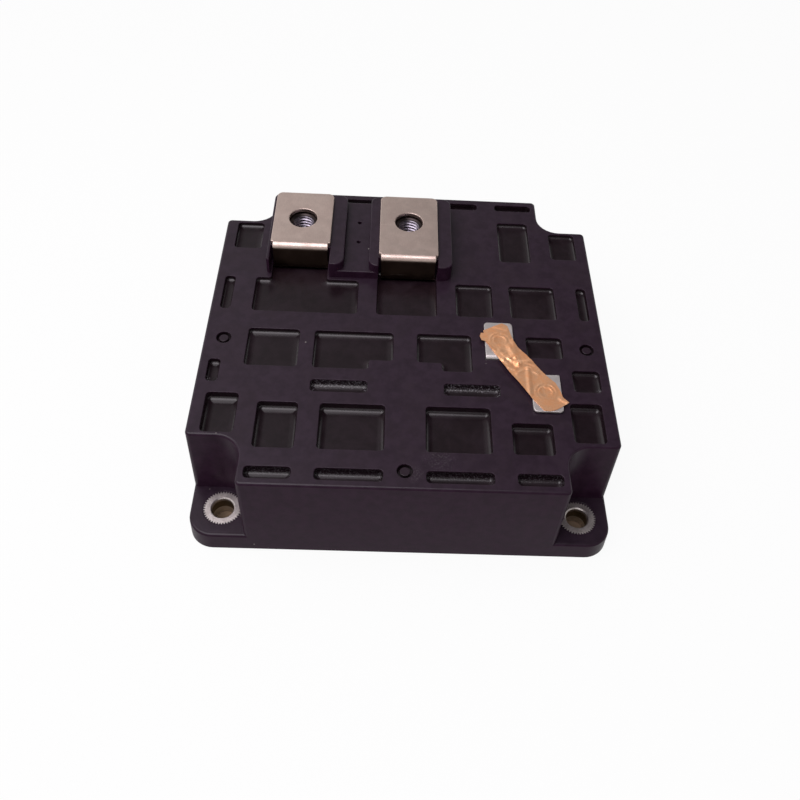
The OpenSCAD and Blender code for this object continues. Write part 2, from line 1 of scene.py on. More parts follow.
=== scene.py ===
# %% [markdown]
# # A power switch module
# The object is one moulded black case on a copper base plate. Two wide terminals bend over towers at the
# rear, two small ones lie on the lid and are joined by a strip of copper foil, and four knurled bushings
# sit in the corner ears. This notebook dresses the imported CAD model: it keeps the CAD pieces whose shape
# is already right, replaces those that need rounded edges, threads or creases, and gives every surface a
# procedural material.

# %% Load the frame
import math

import bpy
import numpy as np
from mathutils import Matrix, Vector, noise
from mathutils.geometry import delaunay_2d_cdt


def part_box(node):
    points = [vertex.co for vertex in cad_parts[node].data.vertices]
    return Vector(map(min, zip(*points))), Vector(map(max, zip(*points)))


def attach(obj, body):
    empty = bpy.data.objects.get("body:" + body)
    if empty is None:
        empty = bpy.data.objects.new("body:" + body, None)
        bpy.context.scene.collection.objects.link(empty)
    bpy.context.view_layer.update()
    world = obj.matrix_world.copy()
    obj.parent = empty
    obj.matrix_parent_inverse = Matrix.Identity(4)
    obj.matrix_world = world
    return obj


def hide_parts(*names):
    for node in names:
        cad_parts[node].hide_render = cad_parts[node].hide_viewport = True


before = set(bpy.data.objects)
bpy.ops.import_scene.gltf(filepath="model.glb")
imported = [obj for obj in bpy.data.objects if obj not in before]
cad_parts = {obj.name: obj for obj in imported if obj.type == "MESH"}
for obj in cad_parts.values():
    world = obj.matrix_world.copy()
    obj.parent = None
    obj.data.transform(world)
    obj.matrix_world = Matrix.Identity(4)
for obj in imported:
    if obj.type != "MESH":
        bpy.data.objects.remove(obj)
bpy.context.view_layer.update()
mm = 0.001

# %% [markdown]
# ## Camera first
# A product view is made with the camera before anything else, so that each piece is judged from the same
# place. This one looks down on the module from in front. Its lens sees about 49 degrees, as a phone held
# close does, so the near edge looks wider than the far one. A very small lens shift centres the module
# without turning the camera.

# %% Camera
SENSOR = 36.0
camera_data = bpy.data.cameras.new("camera")
camera_data.sensor_width = SENSOR
camera_data.sensor_fit = "HORIZONTAL"
camera_data.lens = 39.269
camera_data.shift_x = -0.015
camera_data.shift_y = -0.0187
camera_data.clip_start = 0.01
camera = bpy.data.objects.new("camera", camera_data)
bpy.context.scene.collection.objects.link(camera)
camera.location = [v * mm for v in (-8.0037, -195.8853, 242.1228)]
camera.rotation_euler = [math.radians(v) for v in (39.2948, -2.878, 0.1616)]
bpy.context.scene.camera = camera
print("camera stands", round(camera.location.length / mm), "mm from the module")

# %% [markdown]
# ## A small drawing board for moulded and pressed parts
# Every hard piece here is a stack of outlines: walls that rise, roll over an edge and close in a flat face.
# Booleans and a Bevel modifier could cut such shapes from blocks, but each leaves uneven strips where many
# small pits crowd one face. Outlines that are offset by a formula give the same number of points on each
# level, so the walls are clean quads, and the true normal of every point is known.

# %% Outlines
def contour(corners, inset=0.0, steps=6):
    """Points and outward directions round a closed outline. corners runs anticlockwise as (x, y, radius);
    a positive inset shrinks the outline, and a corner that turns inwards grows its radius as it shrinks."""
    points, outward = [], []
    for i, (x, y, radius) in enumerate(corners):
        before = (Vector((x, y)) - Vector(corners[i - 1][:2])).normalized()
        after = (Vector(corners[(i + 1) % len(corners)][:2]) - Vector((x, y))).normalized()
        side = [Vector((before.y, -before.x)), Vector((after.y, -after.x))]
        spread = (side[0] + side[1]) / (1 + side[0].dot(side[1]))
        turn = math.atan2(before.x * after.y - before.y * after.x, before.dot(after))
        sense = 1 if turn > 0 else -1
        radius = max(radius - sense * inset, 0.02)
        centre = Vector((x, y)) - spread * (inset + sense * radius)
        start = math.atan2(side[0].y, side[0].x)
        for k in range(steps + 1):
            angle = start + turn * k / steps
            out = Vector((math.cos(angle), math.sin(angle)))
            points.append(centre + sense * radius * out)
            outward.append(out)
    return points, outward


def rectangle(x0, x1, y0, y1, radius):
    return [(x0, y0, radius), (x1, y0, radius), (x1, y1, radius), (x0, y1, radius)]


def disc(x, y, radius, count=48):
    """A round outline, as points and outward directions."""
    outward = [Vector((math.cos(a), math.sin(a))) for a in np.arange(count) * (2 * math.pi / count)]
    return [Vector((x, y)) + radius * out for out in outward], outward


def hexagon(x, y, across, radius=0.3):
    reach = across / 2 / math.cos(math.pi / 6)
    return [(x + reach * math.cos(a), y + reach * math.sin(a), radius) for a in np.arange(6) * (math.pi / 3)]


def quarter(count=4):
    """Sine and cosine pairs along a quarter turn, for rolled edges."""
    return [(math.sin(a), math.cos(a)) for a in np.linspace(0, math.pi / 2, count + 1)]


print("a rounded square of 4 corners has", len(contour(rectangle(0, 1, 0, 1, 0.2))[0]), "points")

# %% Shells
class Shell:
    """Closed surfaces in millimetres. Each point keeps its true normal, and flat faces keep their own."""

    def __init__(self):
        self.points, self.normals, self.faces, self.flat = [], [], [], []

    def ring(self, outline, z, tilt=0.0):
        """Adds an outline at a height and returns its point numbers. tilt turns its normals up."""
        first = len(self.points)
        for point, out in zip(*outline):
            self.points.append(Vector((point.x, point.y, z)))
            self.normals.append(Vector((out.x * math.cos(tilt), out.y * math.cos(tilt), math.sin(tilt))))
        return list(range(first, len(self.points)))

    def hollow(self, outline, z, tilt=0.0):
        """As ring, for the wall of a hole, whose normals point into it."""
        points, outward = outline
        return self.ring((points, [-out for out in outward]), z, tilt)

    def bridge(self, *rings, flat=False):
        """Walls between rings: outer walls from the lowest up, and walls of holes from the top down."""
        for a, b in zip(rings, rings[1:]):
            for i in range(len(a)):
                j = (i + 1) % len(a)
                self.faces.append((a[i], a[j], b[j], b[i]))
                self.flat.append(flat)

    def cap(self, outer, holes=(), up=True, ties=()):
        """A flat face in plan between an outer ring and the rings of its holes. At each y in ties, the outer
        ring's leftmost and rightmost points are joined by an edge, if no hole is in the way."""
        loops = [outer, *holes]
        numbers = [n for loop in loops for n in loop]
        flat_points = [self.points[n].xy for n in numbers]
        edges, at = [], 0
        for loop in loops:
            edges += [(at + i, at + (i + 1) % len(loop)) for i in range(len(loop))]
            at += len(loop)
        taken = [(min(p.y for p in hole), max(p.y for p in hole))
                 for hole in ([self.points[n] for n in loop] for loop in holes)]
        for y in ties:
            level = [i for i in range(len(outer)) if abs(flat_points[i].y - y) < 1e-5]
            if len(level) > 1 and not any(low - 0.2 < y < high + 0.2 for low, high in taken):
                level.sort(key=lambda i: flat_points[i].x)
                edges.append((level[0], level[-1]))
        where, _, triangles, origin, _, _ = delaunay_2d_cdt(flat_points, edges, [], 0, 1e-7)
        inside = RingTest([[self.points[n].xy for n in loop] for loop in loops])
        for triangle in triangles:
            middle = sum((where[k] for k in triangle), Vector((0, 0))) / 3
            if inside.holds(middle):
                face = [numbers[origin[k][0]] for k in triangle]
                self.faces.append(tuple(face if up else reversed(face)))
                self.flat.append(True)

    def box(self, low, high):
        """A plain closed block, for bars that no one sees."""
        base = contour(rectangle(low[0], high[0], low[1], high[1], 0.05), steps=1)
        bottom, top = self.ring(base, low[2]), self.ring(base, high[2])
        self.bridge(bottom, top, flat=True)
        self.cap(bottom, up=False)
        self.cap(top)

    def build(self, name, material, bend=None):
        """Makes the object, in metres. bend maps a point and its normal to their bent places."""
        points, normals = self.points, self.normals
        if bend:
            points, normals = zip(*(bend(p, n) for p, n in zip(points, normals)))
        mesh = bpy.data.meshes.new(name)
        mesh.from_pydata([p * mm for p in points], [], self.faces)
        mesh.polygons.foreach_set("use_smooth", [True] * len(self.faces))
        mesh.update()
        corners = []
        for face, flat, polygon in zip(self.faces, self.flat, mesh.polygons):
            own = polygon.normal.copy()
            corners += [own if flat and not bend else normals[n] for n in face]
        mesh.normals_split_custom_set(corners)
        mesh.materials.append(material)
        piece = bpy.data.objects.new(name, mesh)
        bpy.context.scene.collection.objects.link(piece)
        print(name, "has", len(mesh.vertices), "points and", len(mesh.polygons), "faces")
        return piece


class RingTest:
    """Tells whether a place lies inside the first outline and outside the others, by counting crossings."""

    def __init__(self, loops):
        starts, ends = [], []
        for loop in loops:
            starts += loop
            ends += loop[1:] + loop[:1]
        self.a = np.array([tuple(p) for p in starts])
        self.b = np.array([tuple(p) for p in ends])

    def holds(self, place):
        ay, by = self.a[:, 1] - place.y, self.b[:, 1] - place.y
        crosses = (ay > 0) != (by > 0)
        rise = np.where(crosses, by - ay, 1.0)
        x = self.a[:, 0] - ay * (self.b[:, 0] - self.a[:, 0]) / rise
        return bool(np.count_nonzero(crosses & (x > place.x)) % 2)

# %% [markdown]
# ## Sizes
# The CAD boxes give the main sizes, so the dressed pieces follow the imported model. What a box can't give,
# such as a wall's lean or the width of a rib, is written down once here, in millimetres.

# %% Sizes of the case
def spans(node):
    """Lowest and highest corners of a CAD node, in millimetres."""
    low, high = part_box(node)
    return [v / mm for v in low], [v / mm for v in high]


case_low, case_high = spans("case")
plate_high = spans("base_plate")[1]
bushing_low, bushing_high = spans("bushing_rear_right")
FOOT = case_high[0]
LEAN = 1.0
LID = 35.2
CEILING = 28.2
NOTCH = 47.5
NOTCH_ROUND = 7.5
EAR_TOP = bushing_high[2]
EAR_ROUND = 7.6
RIM = case_low[2]
SKIRT = 2.0
SEAT = plate_high[2] + 0.1
CAVITY, CAVITY_NOTCH = 60.5, 44.0
EDGE = 0.8
LIP = 0.18
BORE = (bushing_low[0] + bushing_high[0]) / 2
BUSHING = (bushing_high[0] - bushing_low[0]) / 2
COLLECTOR_X, EMITTER_X = -36.4, 0.3
COLLECTOR_LEG, EMITTER_LEG = 26.2, 22.2
SCREW_Y = 40.6
TOWER_TOP = 41.3
PLATE_HALF = 10.0
METAL = 1.5
PLAY, TIGHT = 0.2, 0.05
RELIEF = 0.7
print("case:", FOOT * 2, "mm wide, bushings at", round(BORE, 2), "mm")

# %% Outlines of the case
def side_at(z):
    """Outer half width of the case at a height: its walls lean in towards the lid."""
    return FOOT - LEAN * z / LID


def plus(x, n, outer_round, notch_round):
    """Corners of a plus shape: arms that reach to x and are 2n wide, with the same corners on each side."""
    return [(u * c - v * s, u * s + v * c, radius) for c, s in ((1, 0), (0, 1), (-1, 0), (0, -1))
            for u, v, radius in ((-n, -x, outer_round), (n, -x, outer_round), (n, -n, notch_round))]


def block_outline(z, inset=0.0):
    """The plus-shaped body above the ears."""
    return contour(plus(side_at(z), NOTCH, 1.5, NOTCH_ROUND), inset, 8)


def ear_outline(z, inset=0.0):
    x = side_at(z)
    return contour(rectangle(-x, x, -x, x, EAR_ROUND), inset, 10)


def cavity_outline(grow=0.0):
    return contour(plus(CAVITY + grow, CAVITY_NOTCH + grow, 0.5, 0.5), 0, 2)


def rolled(shell, outline, z, radius, count=4):
    """Rings of an outer wall that rolls over into a flat top at z. outline gives the shape for an inset."""
    return [shell.ring(outline(radius * (1 - c)), z - radius * (1 - s), math.asin(min(s, 1.0)))
            for s, c in quarter(count)]


def sunk(shell, outline, z, radius, count=3):
    """Rings from a flat top at z down into a hole, over a rounded lip."""
    return [shell.hollow(outline(-radius * (1 - s)), z - radius * (1 - c), math.acos(min(s, 1.0)))
            for s, c in quarter(count)]


print("the block has", len(block_outline(LID)[0]), "points on a level")

# %% [markdown]
# ## Pits of the lid
# The lid is full of shallow pits. They save resin and keep the moulding from sinking. Each has a crisp
# lip, short upright walls and a floor that curves up to them, which catches the light as a bright
# line along one side. All pits are one function with a row of sizes each.

# %% Table of pits
LID_DEEP, BAR_DEEP, MID_DEEP, REAR_DEEP = 3.1, 2.8, 2.1, 1.9


def both(a, b):
    return [(-b, -a), (a, b)]


rim = both(6.1, 25.7) + both(32.2, 45.5)
PITS = [
    (-61.7, -57.6, LID_DEEP, rim),
    (58.1, 61.4, LID_DEEP, rim),
    (-51.1, -34.4, LID_DEEP, both(6.05, 25.65) + [(-44.25, -32.1)]),
    (-51, -39.6, LID_DEEP, [(31.7, 44.1)]),
    (-46.2, -31.5, LID_DEEP, both(50.1, 59.9)),
    (-29.9, -25.2, BAR_DEEP, both(11.7, 29.2)),
    (-26.9, -18.3, MID_DEEP, [(52.2, 60.9)]),
    (-27.2, -18.3, MID_DEEP, [(-61.1, -57.4)]),
    (-20.3, -4.8, MID_DEEP, [(-50.3, -33.9)]),
    (-13.5, -4.6, MID_DEEP, [(38.6, 50.3)]),
    (3.6, 18.6, REAR_DEEP, [(16.5, 28.8), (34.6, 50), (-60.9, -57.5), (57.5, 60.9)]),
    (30.7, 51.3, REAR_DEEP, [(32.5, 43.5)]),
    (32.9, 46.1, REAR_DEEP, both(50.8, 60)),
]
print(sum(len(row[3]) for row in PITS), "plain pits")

# %% Cutting pits and holes
DISH, DISH_RISE = 2.4, 0.45


def sink_pit(shell, corners, depth, top=LID):
    """Lip, upright walls and a dished floor. Returns the ring that the lid's top face leaves open."""
    xs, ys = [c[0] for c in corners], [c[1] for c in corners]
    wide = min(DISH, min(max(xs) - min(xs), max(ys) - min(ys)) / 2 - 0.1)
    rise = DISH_RISE * depth
    rings = sunk(shell, lambda inset: contour(corners, inset), top, LIP)
    floor = top - depth
    for s, c in quarter(7):
        tilt = math.atan2(wide * s, rise * c)
        rings.append(shell.hollow(contour(corners, wide * (1 - c)), floor + rise * (1 - s), tilt))
    shell.bridge(*rings)
    shell.cap(rings[-1])
    return rings[0]


def pit_corners(x0, x1, y0, y1, radius=1.3):
    radius = min(radius, (x1 - x0) / 2 - 0.1, (y1 - y0) / 2 - 0.1)
    return rectangle(x0, x1, y0, y1, radius)


def cut_through(shell, outline, top, bottom, lip=0.0):
    """Straight walls from a top face down to a bottom face. Returns the rings at both ends."""
    rings = sunk(shell, outline, top, lip, 2) if lip else [shell.hollow(outline(0), top)]
    rings.append(shell.hollow(outline(0), bottom))
    shell.bridge(*rings, flat=not lip)
    return rings[0], rings[-1]


def blind_hole(shell, outline, top, floor, lip=0.0):
    """As cut_through, closed by a flat floor."""
    first, last = cut_through(shell, outline, top, floor, lip)
    shell.cap(last)
    return first


def dimple(shell, x, y, radius=2.35, width=0.85, depth=1.6):
    """A round groove that leaves a low boss in its middle."""
    groove = sunk(shell, lambda inset: disc(x, y, radius - inset, 40), LID, 0.15, 2)
    groove.append(shell.hollow(disc(x, y, radius, 40), LID - depth))
    shell.bridge(*groove)
    boss = lambda inset: disc(x, y, radius - width - inset, 40)
    walls = [shell.ring(boss(0), LID - depth)] + rolled(shell, boss, LID - 0.25, 0.2, 2)
    shell.bridge(*walls)
    shell.cap(groove[-1], [walls[0]])
    shell.cap(walls[-1])
    return groove[0]


print("pit floors are", [row[2] for row in PITS][:4], "mm deep at the front")

# %% [markdown]
# ## The moulded case
# The case is one piece of resin: a plus-shaped block on a square foot, two towers and a low saddle between
# them. It is built as four closed shells that overlap a little, because each is then a plain stack of
# outlines. Where two shells meet, the walls continue each other, so no seam shows.

# %% Materials are filled in later
def new_material(name):
    material = bpy.data.materials.new(name)
    material.use_nodes = True
    return material


resin = new_material("case_resin")
print("first material:", resin.name)

# %% Block with the lid
case = Shell()
foot = EAR_TOP - EDGE
walls = [case.ring(block_outline(foot - 0.1, 0.1), foot - 0.1), case.ring(block_outline(foot), foot)]
walls += rolled(case, lambda inset: block_outline(LID, inset), LID, EDGE, 5)
case.bridge(*walls)

lid_holes = []
for y0, y1, depth, row in PITS:
    for x0, x1 in row:
        lid_holes.append(sink_pit(case, pit_corners(x0, x1, y0, y1), depth))
for x, y in ((-57.8, -9.3), (58.1, -9.3), (0, -57.9)):
    lid_holes.append(dimple(case, x, y))

stepped = [[(-29.2, -20.4, 1.3), (-11.6, -20.4, 1.3), (-11.6, -16.7, 0.8), (-4, -16.7, 1.3), (-4, -4.9, 1.3),
            (-29.2, -4.9, 1.3)],
           [(3.5, -16.9, 1.3), (11.3, -16.9, 0.8), (11.3, -20.3, 1.3), (21, -20.3, 1.3), (21, -4.8, 1.3),
            (3.5, -4.8, 1.3)]]
for corners in stepped:
    lid_holes.append(sink_pit(case, corners, MID_DEEP))

LEG_HALF = PLATE_HALF - RELIEF + TIGHT
left, right = COLLECTOR_X - LEG_HALF, COLLECTOR_X + LEG_HALF
rear = COLLECTOR_LEG + METAL + PLAY + TIGHT
lid_holes.append(sink_pit(case, [
    (-50.6, 3.1, 1.3), (-16.2, 3.1, 1.3), (-16.2, 18.6, 1.3), (right, 18.6, 0.8),
    (right, rear, 0.3), (left, rear, 0.3), (left, 18.6, 0.8), (-50.6, 18.6, 1.3)], REAR_DEEP))
rear = EMITTER_LEG + METAL + PLAY + TIGHT
lid_holes.append(sink_pit(case, [
    (-9.9, 3.2, 1.3), (10.1, 3.2, 1.3), (10.1, rear, 0.3), (-9.9, rear, 0.3)], REAR_DEEP))


def leg_fillet(shell, x, y, radius=1.5):
    """The curve between the floor of a pit and the leg that stands in it."""
    floor = LID - REAR_DEEP
    profile = [(y - 0.02, floor - 0.3), (y - radius, floor - 0.3)]
    profile += [(y - radius * c, floor + radius * (1 - s)) for s, c in reversed(quarter(6))]
    slopes = [(0, -1), (-1, 0)] + [(-c, s) for s, c in reversed(quarter(6))]
    ends = []
    for side in (-LEG_HALF + 0.02, LEG_HALF - 0.02):
        ends.append(range(len(shell.points), len(shell.points) + len(profile)))
        shell.points += [Vector((x + side, *place)) for place in profile]
        shell.normals += [Vector((0, *slope)) for slope in slopes]
    a, b = ends
    for i in range(len(profile)):
        j = (i + 1) % len(profile)
        shell.faces.append((a[i], a[j], b[j], b[i]))
        shell.flat.append(i < 2 or j == 0)
    shell.faces += [tuple(reversed(a)), tuple(b)]
    shell.flat += [True, True]


leg_fillet(case, COLLECTOR_X, COLLECTOR_LEG)
leg_fillet(case, EMITTER_X, EMITTER_LEG)

NUT_FLOOR, ROOM_FLOOR, ROOM, NUT_POCKET = 34.7, 30.2, 4.5, 13.3
ceiling_holes = []
for x in (COLLECTOR_X, EMITTER_X):
    pocket = case.hollow(contour(hexagon(x, SCREW_Y, NUT_POCKET), 0, 3), LID)
    seat = case.hollow(contour(hexagon(x, SCREW_Y, NUT_POCKET), 0, 3), NUT_FLOOR)
    case.bridge(pocket, seat, flat=True)
    room = blind_hole(case, lambda inset, x=x: disc(x, SCREW_Y, ROOM), NUT_FLOOR, ROOM_FLOOR)
    case.cap(seat, [room])
    lid_holes.append(pocket)

SLOT_HALF, SLOT_LONG = 4.8, 1.2
SMALL_POCKET, SMALL_FLOOR = 7.2, 32.3
for x, y0, screw in ((29.8, -15.0, -7.4), (43.2, -21.8, -28.2)):
    slot = lambda inset, x=x, y0=y0: contour(
        rectangle(x - SLOT_HALF, x + SLOT_HALF, y0, y0 + SLOT_LONG, 0.1), inset, 2)
    top, bottom = cut_through(case, slot, LID, CEILING)
    lid_holes.append(top)
    ceiling_holes.append(bottom)
    small = lambda inset, x=x, y=screw: contour(hexagon(x, y, SMALL_POCKET), 0, 3)
    lid_holes.append(blind_hole(case, small, LID, SMALL_FLOOR))

case.cap(walls[-1], lid_holes)
inner = [case.hollow(cavity_outline(), CEILING), case.hollow(cavity_outline(), foot - 0.1)]
case.bridge(*inner, flat=True)
case.cap(inner[0], ceiling_holes, up=False)
case.cap(walls[0], [inner[1]], up=False)
print("lid has", len(lid_holes), "openings")

# %% Square foot with the ears
slab = rolled(case, lambda inset: ear_outline(EAR_TOP, inset), EAR_TOP, EDGE, 5)
base = [case.ring(ear_outline(RIM, 0.3), RIM, -math.pi / 2),
        case.ring(ear_outline(RIM, 0.09), RIM + 0.09, -math.pi / 4),
        case.ring(ear_outline(RIM + 0.3), RIM + 0.3)]
case.bridge(*base, *slab)
SKIRT_AT = 63.0
skirt = lambda z: case.hollow(
    contour(rectangle(-SKIRT_AT, SKIRT_AT, -SKIRT_AT, SKIRT_AT, EAR_ROUND - SKIRT), 0, 10), z)
ledge, lower = skirt(SEAT), skirt(RIM)
case.bridge(ledge, lower)
seats, ear_tops = [], []
EAR_CENTRES = [(sx * BORE, sy * BORE) for sx, sy in ((-1, -1), (1, -1), (-1, 1), (1, 1))]
for x, y in EAR_CENTRES:
    round_seat = lambda inset, x=x, y=y: disc(x, y, BUSHING + TIGHT - inset, 64)
    top, bottom = cut_through(case, round_seat, EAR_TOP, SEAT, 0.15)
    ear_tops.append(top)
    seats.append(bottom)

# A ring of resin round each bushing fills the gaps between its teeth, as moulding round a knurl does.
TOOTH, FILL = 0.75, 0.06
low, high = EAR_TOP - 1, EAR_TOP - FILL
for x, y in EAR_CENTRES:
    wide_rim, tooth_root = disc(x, y, BUSHING + 0.3, 64), disc(x, y, BUSHING - TOOTH - 0.1, 64)
    outside = [case.ring(wide_rim, low), case.ring(wide_rim, high)]
    bore_side = [case.hollow(tooth_root, high), case.hollow(tooth_root, low)]
    case.bridge(*outside, flat=True)
    case.bridge(*bore_side, flat=True)
    case.cap(outside[1], [bore_side[0]])
    case.cap(outside[0], [bore_side[1]], up=False)
hall = [case.hollow(cavity_outline(TIGHT), EAR_TOP), case.hollow(cavity_outline(TIGHT), SEAT)]
case.bridge(*hall, flat=True)
case.cap(slab[-1], [*ear_tops, hall[0]])
case.cap(ledge, [*seats, hall[1]], up=False)
case.cap(base[0], [lower], up=False)
print("ears are", EAR_TOP, "mm high")

# %% [markdown]
# ## Towers
# Each tower holds a nut under the flat end of its terminal. Its front is open, so that the terminal's leg
# can run down into the case.

# %% Towers and saddle
TOWER_EDGE, TOWER_ROUND = 0.4, 3.0
TOWER_Y = (19.8, 56.0)
TOWER_SUNK, TOWER_SET, TOWER_POCKET = 33.7, 34.35, 13.2


def raised(outline, top):
    """Walls of a body that stands on the lid, with its foot sunk below the lid's face. Returns the rings."""
    rings = [case.ring(outline(0.4), TOWER_SUNK), case.ring(outline(0), TOWER_SET)]
    rings += rolled(case, outline, top, TOWER_EDGE, 4)
    case.bridge(*rings)
    return rings


def tower(corners, x):
    rings = raised(lambda inset: contour(corners, inset, 7), TOWER_TOP)
    nut = lambda inset: contour(hexagon(x, SCREW_Y, TOWER_POCKET), inset, 3)
    top, bottom = cut_through(case, nut, TOWER_TOP, TOWER_SUNK)
    case.cap(rings[-1], [top])
    case.cap(rings[0], [bottom], up=False)


def leg_slot(x, leg):
    """Corners of the open front of a tower, from its left to its right."""
    rear = leg + METAL + PLAY
    return [(x - PLATE_HALF, rear, 0.3), (x + PLATE_HALF, rear, 0.3)]


front, back = TOWER_Y
tower([(-47.5, 21.38, 0.9), (-46.4, 20.48, 0.1), *leg_slot(COLLECTOR_X, COLLECTOR_LEG), (-26.4, front, 0.4),
       (-21.5, front, TOWER_ROUND), (-21.5, back, TOWER_ROUND), (-47.5, back, TOWER_ROUND)], COLLECTOR_X)
tower([(-13.1, front, 2.9), (-9.7, front, 0.4), *leg_slot(EMITTER_X, EMITTER_LEG), (10.3, front, 0.4),
       (15.2, front, TOWER_ROUND), (15.2, back, TOWER_ROUND), (-13.1, back, TOWER_ROUND)], EMITTER_X)

SADDLE_TOP, VENT_X, VENT = 38.1, -16.95, 0.7
rings = raised(lambda inset: contour(rectangle(-24.5, -10.1, front, back, 0.05), inset, 2), SADDLE_TOP)
case.cap(rings[0], up=False)
vents = []
for y in (34.8, 44.9):
    vent = lambda inset, y=y: disc(VENT_X, y, VENT - inset, 20)
    vents.append(blind_hole(case, vent, SADDLE_TOP, SADDLE_TOP - 2, 0.12))
case.cap(rings[-1], vents)
moulded_case = case.build("moulded_case", resin)
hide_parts("case")
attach(moulded_case, "root")

# %% [markdown]
# ## Main terminals
# A main terminal is stamped from nickel-plated copper and bent once. It is drawn flat, with rolled edges and
# its screw hole, and then every point is moved onto the bend, as the press does. Rows of points across the
# bend keep it round. Below the lid it joins its bus bar and feet.

# %% Bending a flat plate
def tied_rows(outline, rows):
    """Adds points to the two long sides of an outline at given lengths, so that both sides match."""
    points, outward = outline
    new_points, new_outward = [], []
    for i, point in enumerate(points):
        following = points[(i + 1) % len(points)]
        new_points.append(point)
        new_outward.append(outward[i])
        if abs(following.x - point.x) < 1e-6 and abs(following.y - point.y) > 0.5:
            low, high = sorted((point.y, following.y))
            between = [v for v in rows if low + 0.02 < v < high - 0.02]
            for v in sorted(between, reverse=following.y < point.y):
                new_points.append(Vector((point.x, v)))
                new_outward.append(outward[i])
    return new_points, new_outward


def bent_plate(name, material, x, y, run, top, thick, inner, half, corner, foot, hole_at, hole,
               relief=0.0, extra=()):
    """A plate bent down into a leg. The leg's outer face is at y and looks against run, which is 1 where
    the plate runs rearwards and -1 forwards. hole_at is the hole's distance from that face."""
    outer = inner + thick
    bend = (inner + thick / 2) * math.pi / 2
    length, drop = hole_at[1], top - outer - foot
    low = outer - bend - drop
    rows = [outer - bend * k / 10 for k in range(1, 11)] + list(np.arange(outer - bend - 1.2, low, -1.6))
    rows += list(np.arange(outer + 0.8, length, 2.4))
    leg = half - relief
    if relief:
        corners = [(-leg, low, 0.2), (leg, low, 0.2), (leg, outer, 0.2), (half, outer, 0.3),
                   (half, length, corner), (-half, length, corner), (-half, outer, 0.3), (-leg, outer, 0.2)]
    else:
        corners = [(-half, low, 0.2), (half, low, 0.2), (half, length, corner), (-half, length, corner)]
    shell = Shell()
    rim = 0.22
    shape = lambda inset: tied_rows(contour(corners, inset, 6), rows)
    under = [shell.ring(shape(rim * (1 - c)), -thick + rim * (1 - s), -math.asin(min(s, 1.0)))
             for s, c in reversed(quarter(3))]
    over = [shell.ring(shape(rim * (1 - c)), -rim * (1 - s), math.asin(min(s, 1.0))) for s, c in quarter(3)]
    shell.bridge(*under, *over)
    ring = lambda inset: disc(0, hole_at[0], hole - inset, 64)
    wall = sunk(shell, ring, 0, rim, 3)
    wall += [shell.hollow(ring(-rim * (1 - c)), -thick + rim * (1 - s), -math.asin(min(s, 1.0)))
             for s, c in quarter(3)]
    shell.bridge(*wall)
    shell.cap(over[-1], [wall[0]], ties=rows)
    shell.cap(under[0], [wall[-1]], up=False, ties=rows)

    def press(point, normal):
        """Moves a point of the flat plate to its place on the bent one."""
        v, w = point.y, -point.z
        if v >= outer:
            angle, at = 0.0, Vector((point.x, v, -w))
        elif v > outer - bend:
            angle = (outer - v) / bend * math.pi / 2
            radius = outer - w
            at = Vector((point.x, outer - radius * math.sin(angle), -outer + radius * math.cos(angle)))
        else:
            angle = math.pi / 2
            at = Vector((point.x, w, -outer - (outer - bend - v)))
        turned = Matrix.Rotation(angle, 3, "X") @ normal
        return Vector((x + at.x, y + run * at.y, top + at.z)), Vector((turned.x, run * turned.y, turned.z))

    shell.points, shell.normals = map(list, zip(*(press(p, n) for p, n in zip(shell.points, shell.normals))))
    if run < 0:
        shell.faces = [tuple(reversed(face)) for face in shell.faces]
    shell.flat = [False] * len(shell.faces)
    for low_corner, high_corner in extra:
        shell.box(low_corner, high_corner)
    piece = shell.build(name, material)
    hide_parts(name.removeprefix("bent_"))
    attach(piece, "root")
    return piece


terminal_nickel = new_material("terminal_nickel")
control_nickel = new_material("control_nickel")
print("a bend of the main plates takes", round((0.5 + METAL / 2) * math.pi / 2, 2), "mm of metal")

# %% Collector and emitter
MAIN_TOP, MAIN_END, MAIN_HOLE = 43.0, 54.2, 4.85
COLLECTOR_BUS, EMITTER_BUS = 20.0, 12.0
FEET_X, FEET_HALF, CHIP_SIDE = 26.0, 4.0, 4.5


def feet(y, bus):
    """Four feet, each as its lowest and highest corner."""
    return [((sx * FEET_X - FEET_HALF, sy * y - METAL / 2, CHIP_SIDE),
             (sx * FEET_X + FEET_HALF, sy * y + METAL / 2, bus + METAL / 2))
            for sx in (-1, 1) for sy in (-1, 1)]


def bar(x0, x1, y0, y1, z):
    return (x0, y0, z), (x1, y1, z + METAL)


def main_terminal(name, x, leg, bus, bars):
    piece = bent_plate("bent_" + name, terminal_nickel, x, leg, 1, MAIN_TOP, METAL, 0.5, PLATE_HALF, 2.0, bus,
                       (SCREW_Y - leg, MAIN_END - leg), MAIN_HOLE, RELIEF, bars)


collector_bars = [bar(-45.7, -37.7, -35.5, 35.5, COLLECTOR_BUS), bar(-45.7, 30, -35.5, -27.5, COLLECTOR_BUS),
                  bar(-45.7, 30, 27.5, 35.5, COLLECTOR_BUS), bar(-45.7, -27.1, 26.2, 35.5, COLLECTOR_BUS)]
main_terminal("collector_terminal", COLLECTOR_X, COLLECTOR_LEG, COLLECTOR_BUS,
              collector_bars + feet(33.5, COLLECTOR_BUS))
emitter_bars = [bar(-30, 30, -9, 9, EMITTER_BUS), bar(-9, 9.6, 0, EMITTER_LEG + METAL, EMITTER_BUS)]
main_terminal("emitter_terminal", EMITTER_X, EMITTER_LEG, EMITTER_BUS,
              emitter_bars + feet(7.2, EMITTER_BUS))

# %% [markdown]
# ## Control terminals
# The gate and sense terminals are the same stamping in thinner metal. The sense terminal runs forwards.

